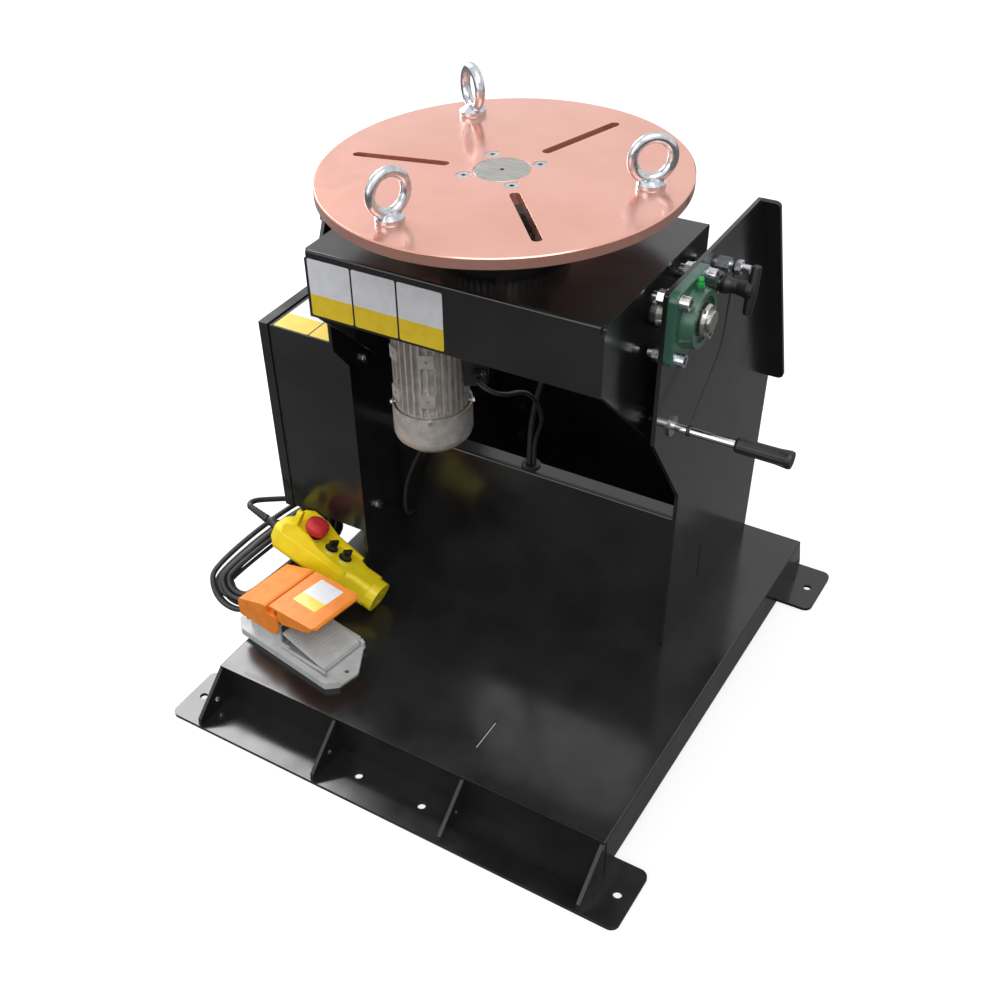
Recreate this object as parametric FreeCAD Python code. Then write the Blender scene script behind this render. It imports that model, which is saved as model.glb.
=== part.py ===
"""Welding positioner: a turning table on a tilting cradle, between two uprights on a floor base."""
import FreeCAD, Part
import math
import os

V = FreeCAD.Vector
os.makedirs("parts", exist_ok=True)

# Driving dimensions, mm. +X right, +Y back, +Z up; origin at the middle of the four end holes, on the floor.
DECK_HALF_X = 365.0        # deck plate, half width
DECK_FRONT, DECK_REAR = -342.0, 448.0
DECK_TOP = 82.0
SHEET = 4.0                # folded sheet of deck, panels and cradle
STRIP_HALF_X = 424.0       # floor strips
STRIP_T = 6.0
STRIP_FRONT = (-421.0, -304.0)
STRIP_REAR = (364.0, 478.0)
FLOOR_BACK = (sum(STRIP_FRONT) + sum(STRIP_REAR)) / 4   # middle of the floor bolts, behind the table axis
FLOOR_HOLE_X, FLOOR_HOLE_R = 399.0, 7.0
EXTRA_HOLE_X = 61.0
GUSSET_X = (-361.0, -122.0, 122.0, 361.0)
GUSSET_T = 6.0

UPRIGHT_OUT = 262.0        # outer face of each upright
UPRIGHT_T = 6.0
AXIS_Y, AXIS_Z = 17.0, 736.0   # tilt axis
UPRIGHT_TOP = 790.0
TAIL_Y, TAIL_Z = 433.0, 416.0  # where the rear edge turns towards the top
TOP_REAR_Y = 276.0
FLANGE_OUT = 28.0          # rear flange of each upright, folded outwards

PANEL_Y, PANEL_TOP = 79.0, 348.0   # cross panel
PANEL_FLANGE = 32.0

CRADLE_HALF_X, CRADLE_FRONT, CRADLE_REAR = 230.0, -150.0, 166.0
CRADLE_TOP, CRADLE_BOTTOM = 792.0, 690.0
CHEEK_LOW = 532.0          # lowest edge of the cradle's side walls
PIN_R = 175.0              # index pin below the tilt axis

TABLE_R, TABLE_TOP, TABLE_T = 250.0, 890.0, 16.0
BOSS_R = 38.5
SLOT_IN, SLOT_OUT, SLOT_W = 74.0, 214.0, 14.0
SLOT_DEG = (-48.5, 71.5, 191.5)
EYE_R = 199.0
EYE_DEG = (-104.0, 132.0, 10.0)
EYE_TURN = (-24.0, 54.5, -50.0)
MODULE, RING_Z, PINION_Z = 3.0, 60, 18
GEAR_LOW, GEAR_T = 812.0, 25.0
MOTOR_DIR = 190.0          # where the motor stands, seen from the spindle
MOTOR_R = 57.0
MOTOR_LOW, COWL_H, FRAME_H = 444.0, 60.0, 150.0

CAB_X, CAB_FRONT, CAB_REAR = -409.0, -40.0, 260.0
CAB_LOW, CAB_TOP, CAB_T = 205.0, 572.0, 2.0
DOOR_DEPTH, DOOR_GAP = 18.0, 5.0

BEARING_SIDE, BEARING_PITCH, SHAFT_R = 108.0, 83.0, 15.0
BEARING_FLANGE, BEARING_DEEP = 13.0, 31.0
RUN = 0.05                 # radial running fit
GAP = 0.3                  # between parts that do not touch
CLEAR = 0.5                # radial, bolts in holes

X, Y, Z = V(1, 0, 0), V(0, 1, 0), V(0, 0, 1)


# Building blocks

def box(x0, x1, y0, y1, z0, z1):
    return Part.makeBox(x1 - x0, y1 - y0, z1 - z0, V(x0, y0, z0))


def cyl(r, h, at, d=Z):
    return Part.makeCylinder(r, h, V(*at), d)


def ring(r_out, r_in, h, at, d=Z):
    return cyl(r_out, h, at, d).cut(cyl(r_in, h + 2, V(*at) - d * 1.0, d))


def outline(points, radii, o, u, v):
    """A closed face in the plane (o, u, v), with its corners rounded."""
    n = len(points)
    radii = [radii] * n if isinstance(radii, (int, float)) else radii
    put = lambda p: o + u * p[0] + v * p[1]
    ends, arcs = [], []
    for i, p in enumerate(points):
        a, b = points[i - 1], points[(i + 1) % n]
        p3, pa, pb = V(p[0], p[1], 0), V(a[0], a[1], 0), V(b[0], b[1], 0)
        da, db = (pa - p3).normalize(), (pb - p3).normalize()
        r = radii[i]
        if r <= 0:
            ends.append((p3, p3))
            arcs.append(None)
            continue
        half = da.getAngle(db) / 2
        back = r / math.tan(half)
        c = p3 + (da + db).normalize() * (r / math.sin(half))
        ends.append((p3 + da * back, p3 + db * back))
        arcs.append(c + (p3 - c).normalize() * r)
    edges = []
    for i in range(n):
        if arcs[i] is not None:
            edges.append(Part.Arc(put(ends[i][0]), put(arcs[i]), put(ends[i][1])).toShape())
        s, e = ends[i][1], ends[(i + 1) % n][0]
        if (s - e).Length > 1e-6:
            edges.append(Part.makeLine(put(s), put(e)))
    return Part.Face(Part.Wire(edges))


def plate_x(points, x0, x1, radii=0):
    """A plate whose outline is given in (y, z), from x0 to x1."""
    return outline(points, radii, V(x0, 0, 0), Y, Z).extrude(V(x1 - x0, 0, 0))


def plate_y(points, y0, y1, radii=0):
    return outline(points, radii, V(0, y0, 0), X, Z).extrude(V(0, y1 - y0, 0))


def plate_z(points, z0, z1, radii=0):
    return outline(points, radii, V(0, 0, z0), X, Y).extrude(V(0, 0, z1 - z0))


def rect(x0, x1, y0, y1):
    return [(x0, y0), (x1, y0), (x1, y1), (x0, y1)]


def hexagon(flats, h, at, d=Z):
    """A hexagonal prism with its corners turned off at the far end."""
    r = flats / math.sqrt(3)
    side = X if abs(d.x) < 0.9 else Y
    w = d.cross(side)
    pts = [V(*at) + side * (r * math.cos(a)) + w * (r * math.sin(a)) for a in
           [math.radians(60 * k) for k in range(6)]]
    return Part.Face(Part.makePolygon(pts + [pts[0]])).extrude(d * h)


def turned(profile, at, d=Z):
    """A solid of revolution; profile is (radius, height) points from the axis round and back."""
    wire = Part.makePolygon([V(r, 0, h) for r, h in profile + [profile[0]]])
    s = Part.Face(wire).revolve(V(0, 0, 0), Z, 360)
    s.Placement = FreeCAD.Placement(V(*at), FreeCAD.Rotation(Z, d))
    return s


def spun(s, deg, at=(0, 0, 0), d=Z):
    c = s.copy()
    c.rotate(V(*at), d, deg)
    return c


def moved(s, x=0, y=0, z=0):
    c = s.copy()
    c.translate(V(x, y, z))
    return c


def mirrored(s):
    return s.mirror(V(0, 0, 0), X)


def union(shapes):
    out = shapes[0]
    return out.multiFuse(shapes[1:]).removeSplitter() if len(shapes) > 1 else out


def cut(s, tools):
    return s.cut(Part.makeCompound(tools))


def socket_screw(r, length, at, d, head_r=None, head_h=None):
    """A cap screw: at is under the head, d points out of the head."""
    head_r, head_h = head_r or 1.5 * r, head_h or 2 * r
    at = V(*at)
    head = cyl(head_r, head_h, at, d).cut(hexagon(1.7 * r, r, at + d * (head_h - r), d))
    return head.fuse(cyl(r, length, at - d * length, d))


def cord(points, r):
    """A round cord of straight runs joined by tangent arcs, each as wide as its runs allow."""
    pts = [V(*p) for p in points]
    edges, start = [], pts[0]
    for i in range(1, len(pts) - 1):
        a, p, b = pts[i - 1], pts[i], pts[i + 1]
        da, db = (a - p), (b - p)
        la, lb = da.Length, db.Length
        da.normalize()
        db.normalize()
        half = da.getAngle(db) / 2
        back = 0.45 * min(la, lb)
        bend = back * math.tan(half)
        c = p + (da + db).normalize() * (bend / math.sin(half))
        mid = c + (p - c).normalize() * bend
        edges.append(Part.makeLine(start, p + da * back))
        edges.append(Part.Arc(p + da * back, mid, p + db * back).toShape())
        start = p + db * back
        radii.append(round(bend / (2 * r), 1))
    edges.append(Part.makeLine(start, pts[-1]))
    path = Part.Wire(edges)
    d = (pts[1] - pts[0]).normalize()
    section = Part.Wire(Part.makeCircle(r, pts[0], d))
    s = path.makePipeShell([section], True, True)
    share = s.Volume / (math.pi * r * r * path.Length)
    print("cord: %.0f mm long, volume %.3f of section x length" % (path.Length, share))
    return s


radii = []
made = {}


def save(name, *solids):
    """One named node, set back to the frame's origin and written as STEP."""
    shape = solids[0] if len(solids) == 1 else Part.makeCompound(list(solids))
    shape = moved(shape, y=-FLOOR_BACK)
    made[name] = shape
    shape.exportStep("parts/%s.step" % name)


# Base: folded deck on two floor strips, with gussets

deck = box(-DECK_HALF_X, DECK_HALF_X, DECK_FRONT, DECK_REAR, DECK_TOP - SHEET, DECK_TOP)
flange = box(DECK_HALF_X - SHEET, DECK_HALF_X, DECK_FRONT + 6, DECK_REAR - 6, STRIP_T, DECK_TOP)
deck = union([deck, flange, mirrored(flange)])
deck = deck.makeFillet(SHEET - 0.5, [e for e in deck.Edges if e.Length > 700
                                    and abs(e.BoundBox.ZMin - DECK_TOP) < 0.1 and e.BoundBox.XLength < 1])
TAB_X, TAB_HALF = (-290.0, -60.0, 180.0, 290.0), 25.0
WALL_IN = 6.0                                    # the front and rear walls stand in from the deck edge
notches = [box(x - TAB_HALF - 0.2, x + TAB_HALF + 0.2, y0, y0 + SHEET + 0.4, DECK_TOP - SHEET - 1, DECK_TOP + 1)
           for x in TAB_X for y0 in (DECK_FRONT + WALL_IN - 0.2, DECK_REAR - WALL_IN - SHEET - 0.2)]
slit = box(106.5, 109.5, -279, -215, DECK_TOP - SHEET - 1, DECK_TOP + 1)
deck = cut(deck, notches + [slit])
save("base_deck", deck)


def wall(y0):
    s = box(-DECK_HALF_X + SHEET, DECK_HALF_X - SHEET, y0, y0 + SHEET, STRIP_T, DECK_TOP - SHEET)
    return union([s] + [box(x - TAB_HALF, x + TAB_HALF, y0, y0 + SHEET, DECK_TOP - SHEET - 5, DECK_TOP)
                        for x in TAB_X])


walls = [wall(DECK_FRONT + WALL_IN), wall(DECK_REAR - WALL_IN - SHEET)]


def strip(y0, y1):
    s = plate_z(rect(-STRIP_HALF_X, STRIP_HALF_X, y0, y1), 0, STRIP_T, 14)
    ym = (y0 + y1) / 2
    holes = [cyl(FLOOR_HOLE_R, STRIP_T + 2, (x, ym, -1)) for x in (-FLOOR_HOLE_X, FLOOR_HOLE_X)]
    if y0 < 0:
        holes += [cyl(FLOOR_HOLE_R, STRIP_T + 2, (x, y0 + 50, -1)) for x in (-EXTRA_HOLE_X, EXTRA_HOLE_X)]
    return cut(s, holes)


save("floor_strips", strip(*STRIP_FRONT), strip(*STRIP_REAR))


def gusset(x, y0, reach):
    """A small web from the deck's wall down to the strip, with a drain hole."""
    s = 1 if reach > 0 else -1
    under = DECK_TOP - SHEET
    pts = [(y0, STRIP_T), (y0, under), (y0 + s * (WALL_IN + 2), under), (y0 + reach - s * 2, 18), (y0 + reach, STRIP_T)]
    w = plate_x(pts, x - GUSSET_T / 2, x + GUSSET_T / 2)
    return w.cut(cyl(5.5, GUSSET_T + 2, (x - GUSSET_T / 2 - 1, y0 + reach * 0.4, 27), X))


gussets = [gusset(x, DECK_FRONT + WALL_IN, -82) for x in GUSSET_X]
gussets += [gusset(x, DECK_REAR - WALL_IN, 34) for x in GUSSET_X]
save("base_plates", *walls, *gussets, *[plate_x([(DECK_FRONT + WALL_IN + SHEET, STRIP_T + 36), (DECK_REAR - WALL_IN - SHEET, STRIP_T + 36),
                             (DECK_REAR - WALL_IN - SHEET, DECK_TOP - SHEET),
                             (DECK_FRONT + WALL_IN + SHEET, DECK_TOP - SHEET)], x - 2.5, x + 2.5)
                    for x in (-259.5, 0, 259.5)])

# Uprights: two plates, the left one wider below to carry the cabinet

half = BEARING_PITCH / 2
BEARING_HOLES = [(AXIS_Y + a * half, AXIS_Z + b * half) for a in (-1, 1) for b in (-1, 1)]
CLAMP_YZ = (108.0, 741.0)
PIN_YZ = (AXIS_Y, AXIS_Z - PIN_R)
STOP_YZ = (152.0, 746.0)
PASS_Y, PASS_Z = (110.0, 140.0, 170.0), 150.0
SENSE_AT = (-234.0, 178.0)      # where the thin lead goes through the cross panel
CAB_BOLTS = [(0.0, 534.0), (0.0, 240.0), (220.0, 534.0), (220.0, 240.0)]


def upright(front, side):
    """side +1 is the right plate; the same outline behind, its own front edge."""
    x0, x1 = UPRIGHT_OUT - UPRIGHT_T, UPRIGHT_OUT
    back = [(TOP_REAR_Y, UPRIGHT_TOP), (TAIL_Y, TAIL_Z), (TAIL_Y, DECK_TOP)]
    pts = front + back
    s = plate_x(pts, x0, x1, [3] * len(front) + [0, 0, 0])
    along = V(0, TAIL_Y - TOP_REAR_Y, TAIL_Z - UPRIGHT_TOP)
    length = along.Length
    along.normalize()
    lip = outline(rect(0, UPRIGHT_T + FLANGE_OUT, 0, length - 5), [0, 8, 12, 0],
                  V(x0, TOP_REAR_Y, UPRIGHT_TOP), X, along)
    inward = X.cross(along)
    s = s.fuse(lip.extrude(inward * (UPRIGHT_T if inward.y < 0 else -UPRIGHT_T)))
    tools = [cyl(6 + CLEAR, 20, (x0 - 5, y, z), X) for y, z in BEARING_HOLES]
    tools.append(cyl(34, 20, (x0 - 5, AXIS_Y, AXIS_Z), X))
    if side > 0:
        tools += [cyl(11, 20, (x0 - 5, *CLAMP_YZ), X), cyl(11, 20, (x0 - 5, *PIN_YZ), X),
                  cyl(6 + CLEAR, 20, (x0 - 5, *STOP_YZ), X), box(x0 - 5, x1 + 5, 203.5, 206.5, 137, 207)]
    else:
        tools += [cyl(4 + CLEAR, 20, (x0 - 5, y, z), X) for y, z in CAB_BOLTS]
        tools += [cyl(6.5, 20, (x0 - 5, y, PASS_Z), X) for y in PASS_Y]
    return cut(s.removeSplitter(), tools)


RIGHT_FRONT = [(75, DECK_TOP), (75, 398), (-39, 559), (-39, UPRIGHT_TOP)]
LEFT_FRONT = [(-40, DECK_TOP), (-40, 540), (-76, 586), (-76, 760), (-62, UPRIGHT_TOP)]
save("right_upright", upright(RIGHT_FRONT, 1))
save("left_upright", mirrored(upright(LEFT_FRONT, -1)))

# Cross panel with its folded top, rear panel

inner = UPRIGHT_OUT - UPRIGHT_T
CABLE_HOLE = (-6.0, 99.0)
panel = box(-inner, inner, PANEL_Y, PANEL_Y + SHEET, DECK_TOP, PANEL_TOP)
top = box(-inner, inner, PANEL_Y, PANEL_Y + PANEL_FLANGE, PANEL_TOP - SHEET, PANEL_TOP)
panel = union([panel, top])
panel = panel.makeFillet(SHEET - 0.5, [e for e in panel.Edges if e.Length > 400 and abs(e.BoundBox.YMin - PANEL_Y)
                                      < 0.1 and abs(e.BoundBox.ZMin - PANEL_TOP) < 0.1 and e.BoundBox.YLength < 1])
panel = cut(panel, [cyl(13, 10, (*CABLE_HOLE, PANEL_TOP - 6)),
                    cyl(6, 10, (SENSE_AT[0], PANEL_Y - 3, SENSE_AT[1]), Y),
                    box(-inner - 1, inner + 1, PANEL_Y + SHEET + 0.5, PANEL_Y + SHEET + 2, PANEL_TOP - 1, PANEL_TOP + 1)])
save("cross_panel", panel)
rear = union([box(-inner, inner, 424, 424 + SHEET, DECK_TOP, TAIL_Z), box(-inner, inner, 404, 428, TAIL_Z - SHEET, TAIL_Z)])
REAR_SCREWS = [(x, z) for x in (-205, 205) for z in (146, 206)]
save("rear_panel", cut(rear, [cyl(4 + CLEAR, 20, (x, 415, z), Y) for x, z in REAR_SCREWS]))
frame_bolts = [union([hexagon(13, 5, (x, 424, z), -Y), cyl(4, 18, (x, 424, z), Y),
                      hexagon(13, 6.5, (x, 428, z), Y)]) for x, z in REAR_SCREWS]
grommet = ring(16, 9.2, 3, (*CABLE_HOLE, PANEL_TOP)).fuse(ring(13 - 0.2, 9.2, 4, (*CABLE_HOLE, PANEL_TOP - 4)))
save("panel_grommet", grommet.fuse(ring(16, 9.2, 3, (*CABLE_HOLE, PANEL_TOP - 7))).removeSplitter())

# Tilt bearings: square flange units, bolted through the uprights


def housing(side):
    """Four-bolt square flange housing with its turned boss, on the outer face of an upright."""
    s = BEARING_SIDE / 2
    base = plate_x([(-s, -s), (s, -s), (s, s), (-s, s)], 0, BEARING_FLANGE, 14)
    neck = turned([(0, 0), (46, 0), (41, BEARING_FLANGE + 4), (39, BEARING_DEEP), (0, BEARING_DEEP)], (0, 0, 0), X)
    b = union([base.makeFillet(2.5, [e for e in base.Edges if e.BoundBox.XMin > BEARING_FLANGE - 0.1]), neck])
    b = b.cut(cyl(31, 60, (-5, 0, 0), X))
    tools = [cyl(6 + CLEAR, 40, (-5, a * half, c * half), X) for a in (-1, 1) for c in (-1, 1)]
    tools += [cyl(10.5, 30, (BEARING_FLANGE - 1, a * half, c * half), X) for a in (-1, 1) for c in (-1, 1)]
    boss = cyl(6, 12, (20, 0, 34), Z)
    b = cut(b.fuse(boss), tools + [cyl(31, 60, (-5, 0, 0), X), cyl(3 + CLEAR, 20, (20, 0, 28), Z)])
    b.translate(V(UPRIGHT_OUT, AXIS_Y, AXIS_Z))
    return b if side > 0 else mirrored(b)


def insert_outer():
    s = turned([(22.5, 8), (31 - 0.02, 8), (31 - 0.02, 27), (22.5, 27)], (UPRIGHT_OUT, AXIS_Y, AXIS_Z), X)
    return s


def insert_inner():
    """Inner ring with its collar and two grub screws; it turns with the shaft."""
    s = turned([(SHAFT_R + RUN, 2), (22, 2), (22, 33), (20.5, 38), (SHAFT_R + RUN, 38)], (0, 0, 0), X)
    for a in (35, 155):
        s = s.cut(spun(cyl(3.2, 30, (33, 0, 10), Z), a, (33, 0, 0), X))
    s.translate(V(UPRIGHT_OUT, AXIS_Y, AXIS_Z))
    return s


def nipple():
    s = union([hexagon(9, 4, (0, 0, 0)), cyl(3, 6, (0, 0, -5)), turned([(0, 4), (4, 4), (3.2, 7), (4.4, 9), (3, 12),
                                                                    (0, 12)], (0, 0, 0))])
    s.translate(V(UPRIGHT_OUT + 20, AXIS_Y, AXIS_Z + 46))
    return s


save("bearing_housings", housing(1), housing(-1), insert_outer(), mirrored(insert_outer()))
save("bearing_inner_rings", insert_inner(), mirrored(insert_inner()))
save("grease_nipples", nipple(), mirrored(nipple()))


def bearing_bolt(y, z):
    x_in, x_out = UPRIGHT_OUT - UPRIGHT_T, UPRIGHT_OUT + BEARING_FLANGE - 1
    s = union([cyl(10, 2, (x_out, y, z), X), socket_screw(6, 40, (x_out + 2, y, z), X, 9, 12)])
    nut = union([cyl(12, 2, (x_in, y, z), -X), hexagon(18, 10, (x_in - 2, y, z), -X)])
    return union([s, nut])


bolts = [bearing_bolt(y, z) for y, z in BEARING_HOLES]
save("bearing_bolts", *bolts, *[mirrored(b) for b in bolts])

# Cradle: folded box, side walls, stub shafts

shell = box(-CRADLE_HALF_X, CRADLE_HALF_X, CRADLE_FRONT, CRADLE_REAR, CRADLE_TOP - SHEET, CRADLE_TOP)
face = box(-CRADLE_HALF_X, CRADLE_HALF_X, CRADLE_FRONT, CRADLE_FRONT + SHEET, CRADLE_BOTTOM, CRADLE_TOP)
back = box(-CRADLE_HALF_X, CRADLE_HALF_X, CRADLE_REAR - SHEET, CRADLE_REAR, CRADLE_BOTTOM + 40, CRADLE_TOP)
lip = box(-CRADLE_HALF_X + 20, CRADLE_HALF_X - 20, CRADLE_FRONT, CRADLE_FRONT + 22, CRADLE_BOTTOM, CRADLE_BOTTOM + SHEET)
shell = union([shell, face, back, lip])
shell = shell.makeFillet(SHEET - 0.5, [e for e in shell.Edges if e.Length > 400 and
                                      abs(e.BoundBox.ZMin - CRADLE_TOP) < 0.1 and e.BoundBox.YLength < 1])
gear_c = MODULE * (RING_Z + PINION_Z) / 2
motor = V(gear_c * math.cos(math.radians(MOTOR_DIR)), gear_c * math.sin(math.radians(MOTOR_DIR)), 0)
relief = [cyl(5, 20, (sx * (CRADLE_HALF_X - 1), CRADLE_FRONT + 1, CRADLE_TOP - 12)) for sx in (-1, 1)]
HOUSING_R = 62.0
GEARBOX_SPIGOT = 32.0
house_bolts = [V(76 * math.cos(math.radians(a)), 76 * math.sin(math.radians(a)), 0) for a in range(0, 360, 60)]
house_bolts = [p for p in house_bolts if (p - motor).Length > 55]
relief += [cyl(4 + CLEAR, 20, (p.x, p.y, CRADLE_TOP - 10)) for p in house_bolts]
shell = cut(shell, relief + [cyl(HOUSING_R + CLEAR, 20, (0, 0, CRADLE_TOP - 10)),
                             cyl(GEARBOX_SPIGOT + CLEAR, 20, (motor.x, motor.y, CRADLE_TOP - 10)),
                             cyl(9, 20, (60, 120, CRADLE_TOP - 10))])
CHEEK_T = 8.0
cheek_pts = [(CRADLE_FRONT + SHEET, CRADLE_BOTTOM), (AXIS_Y - 4, CHEEK_LOW), (AXIS_Y + 60, CHEEK_LOW),
             (CRADLE_REAR - SHEET, CRADLE_BOTTOM + 40), (CRADLE_REAR - SHEET, CRADLE_TOP - SHEET),
             (CRADLE_FRONT + SHEET, CRADLE_TOP - SHEET)]
cheek = plate_x(cheek_pts, CRADLE_HALF_X - CHEEK_T, CRADLE_HALF_X, [2, 3, 3, 2, 2, 2])
cheek = cut(cheek, [cyl(20 + CLEAR, 20, (CRADLE_HALF_X - 12, AXIS_Y, AXIS_Z), X)])
right_cheek = cut(cheek, [cyl(6 + 0.3, 20, (CRADLE_HALF_X - 12, *PIN_YZ), X)])
save("cradle_shell", shell, right_cheek, mirrored(cheek))

stub = turned([(0, -16), (40, -16), (40, -8), (20, -8), (20, 0), (24, 0), (24, 4), (19, 18), (SHAFT_R, 20),
               (SHAFT_R, UPRIGHT_OUT - CRADLE_HALF_X + 42), (SHAFT_R - 1.5, UPRIGHT_OUT - CRADLE_HALF_X + 43.5),
               (0, UPRIGHT_OUT - CRADLE_HALF_X + 43.5)], (CRADLE_HALF_X, AXIS_Y, AXIS_Z), X)
save("tilt_stub_shafts", stub, mirrored(stub))

# Clamp, index pin with its bush and grip, stop stud, lanyard

cx, cz = CLAMP_YZ
clamp_boss = hexagon(27, 14, (UPRIGHT_OUT, cx, cz), X).fuse(cyl(11 - 0.2, UPRIGHT_T, (UPRIGHT_OUT - UPRIGHT_T, cx, cz), X))
clamp_boss = clamp_boss.cut(cyl(6 + RUN, 60, (UPRIGHT_OUT - 20, cx, cz), X))
T_X = UPRIGHT_OUT + 58
clamp = union([cyl(6, T_X - 20 - CRADLE_HALF_X - 4, (CRADLE_HALF_X + 4, cx, cz), X),
               cyl(9, 3, (CRADLE_HALF_X + 1, cx, cz), X)])
save("clamp_screw", clamp)
barrel = turned([(6 + 0.02, 0), (12, 0), (12.5, 6), (10, 14), (9.5, 22), (12, 36), (12, 44), (0, 48), (0, 22),
                 (6 + 0.02, 22)], (T_X - 42, cx, cz), X)
t_bar = turned([(0, -33), (5, -33), (6.5, -31), (8, 0), (6.5, 31), (5, 33), (0, 33)], (T_X, cx, cz), Z)
grip = union([barrel, spun(t_bar, -14, (T_X, cx, cz), X)])
save("clamp_handle", grip)

py, pz = PIN_YZ
ROD_OUT = 95.0
bush = union([cyl(11 - 0.2, UPRIGHT_T, (UPRIGHT_OUT - UPRIGHT_T, py, pz), X),
              hexagon(24, 14, (UPRIGHT_OUT - UPRIGHT_T, py, pz), -X),
              cyl(15, 3, (UPRIGHT_OUT, py, pz), X)])
save("upright_bushes", clamp_boss, bush.cut(cyl(6 + RUN, 60, (UPRIGHT_OUT - 30, py, pz), X)))
pin_tip = UPRIGHT_OUT - 18
rod = turned([(0, 0), (4.5, 0), (6, 3), (6, UPRIGHT_OUT + ROD_OUT + 60 - pin_tip), (0, UPRIGHT_OUT + ROD_OUT + 60 - pin_tip)],
             (pin_tip, py, pz), X)
save("index_pin", rod)
fluted = turned([(6 + 0.02, 0), (9, 0), (11, 4), (11.5, 60), (13, 76), (12, 80), (0, 80), (0, 60), (6 + 0.02, 60)],
                (UPRIGHT_OUT + ROD_OUT, py, pz), X)
flutes = []
for k in range(10):
    f = cyl(1.8, 70, (UPRIGHT_OUT + ROD_OUT + 4, py, pz + 12.4), X)
    flutes.append(spun(f, 36 * k, (0, py, pz), X))
save("index_grip", cut(fluted, flutes))
ty, tz = STOP_YZ
frame_bolts.append(union([cyl(6, 62, (UPRIGHT_OUT - 24, ty, tz), X), hexagon(18, 9, (UPRIGHT_OUT, ty, tz), X),
                         hexagon(18, 9, (UPRIGHT_OUT - UPRIGHT_T, ty, tz), -X), hexagon(18, 8, (UPRIGHT_OUT + 18, ty, tz), X)]))
LANYARD_R = 1.4
lx = UPRIGHT_OUT + 18
save("lanyard_loops", ring(8.2, 6.05, 5, (UPRIGHT_OUT + 24, py, pz), X), ring(9, 6.05, 3.2, (UPRIGHT_OUT + 14.4, ty, tz), X))
LANYARD = [(UPRIGHT_OUT + 16, ty - 2, tz - 8.6), (lx, ty - 14, tz - 50), (lx + 8, ty - 42, tz - 96),
           (lx + 6, 78, pz + 48), (lx + 8, py + 22, pz + 22), (UPRIGHT_OUT + 26.5, py + 6, pz + 8)]
save("lanyard", cord(LANYARD, LANYARD_R))

# Table with its slots, boss, screws and lifting eyes

slots = []
for a in SLOT_DEG:
    s = box(SLOT_IN + SLOT_W / 2, SLOT_OUT - SLOT_W / 2, -SLOT_W / 2, SLOT_W / 2, TABLE_TOP - 40, TABLE_TOP + 2)
    s = union([s] + [cyl(SLOT_W / 2, 42, (r, 0, TABLE_TOP - 40)) for r in (SLOT_IN + SLOT_W / 2, SLOT_OUT - SLOT_W / 2)])
    slots.append(spun(s, a))
screw_at = [V(52 * math.cos(math.radians(a)), 52 * math.sin(math.radians(a)), 0) for a in (-46, 44, 134, 224)]
eye_at = [V(EYE_R * math.cos(math.radians(a)), EYE_R * math.sin(math.radians(a)), 0) for a in EYE_DEG]
disc = turned([(0, 0), (TABLE_R - 1.5, 0), (TABLE_R, 1.5), (TABLE_R, TABLE_T - 1.5), (TABLE_R - 1.5, TABLE_T),
               (0, TABLE_T)], (0, 0, TABLE_TOP - TABLE_T))
sink = [turned([(0, 0), (5.5, 0), (5.5, TABLE_T - 6), (10, TABLE_T - 1.5), (10, TABLE_T + 1), (0, TABLE_T + 1)],
               (p.x, p.y, TABLE_TOP - TABLE_T)) for p in screw_at]
disc = cut(disc, slots + sink + [cyl(BOSS_R + RUN, 40, (0, 0, TABLE_TOP - 30))]
           + [cyl(8 + RUN, 40, (p.x, p.y, TABLE_TOP - 30)) for p in eye_at])
save("table_disc", disc)


def table_screw(p):
    s = turned([(0, 0), (5, 0), (5, TABLE_T + 9), (9.6, TABLE_T + 13.2), (9.6, TABLE_T + 14.6), (0, TABLE_T + 14.6)],
               (p.x, p.y, TABLE_TOP - TABLE_T - 15))
    return s.cut(hexagon(6, 6, (p.x, p.y, TABLE_TOP - 5)))




def eye_bolt(p, turn):
    """A forged lifting eye: ring, collar and threaded shank with its nut under the table."""
    eye = Part.makeTorus(26, 7, V(0, 0, 37), X)
    collar = turned([(0, 0), (18.5, 0), (19, 2), (19, 7), (13, 11), (8, 14), (0, 14)], (0, 0, 0))
    s = union([eye, collar, cyl(8, 32, (0, 0, -32)), hexagon(24, 10, (0, 0, -TABLE_T), -Z)])
    s.rotate(V(0, 0, 0), Z, turn)
    s.translate(V(p.x, p.y, TABLE_TOP))
    return s


save("eye_bolts", *[eye_bolt(p, t) for p, t in zip(eye_at, EYE_TURN)])

# Spindle, its bearings and housing, ring gear, pinion

SPINDLE_R, NUT_R = 25.0, 30.0
FLANGE_Z = TABLE_TOP - TABLE_T
spindle = turned([(0, 724), (SPINDLE_R - 1.5, 724), (SPINDLE_R, 725.5), (SPINDLE_R, FLANGE_Z - 16), (70, FLANGE_Z - 16),
                  (70, FLANGE_Z), (BOSS_R, FLANGE_Z), (BOSS_R, TABLE_TOP - 0.8), (BOSS_R - 0.8, TABLE_TOP), (0, TABLE_TOP)],
                 (0, 0, 0))
spindle = cut(spindle, [cyl(5, 40, (p.x, p.y, FLANGE_Z - 20)) for p in screw_at] + [cyl(3, 6, (0, 0, TABLE_TOP - 4))])
save("spindle", spindle)


def gear(teeth, r_bore, z0, thick, phase):
    """A spur gear with straight-sided teeth standing in for the involute."""
    rp = MODULE * teeth / 2
    ra, rf = rp + MODULE - 0.15, rp - 1.25 * MODULE
    pts = []
    pitch = 360.0 / teeth
    for k in range(teeth):
        a = phase + k * pitch
        for r, w in ((rf, -0.36), (ra, -0.13), (ra, 0.13), (rf, 0.36)):
            t = math.radians(a + w * pitch)
            pts.append(V(r * math.cos(t), r * math.sin(t), z0))
    g = Part.Face(Part.makePolygon(pts + [pts[0]])).extrude(V(0, 0, thick))
    return g.cut(cyl(r_bore, thick + 2, (0, 0, z0 - 1)))


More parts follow.
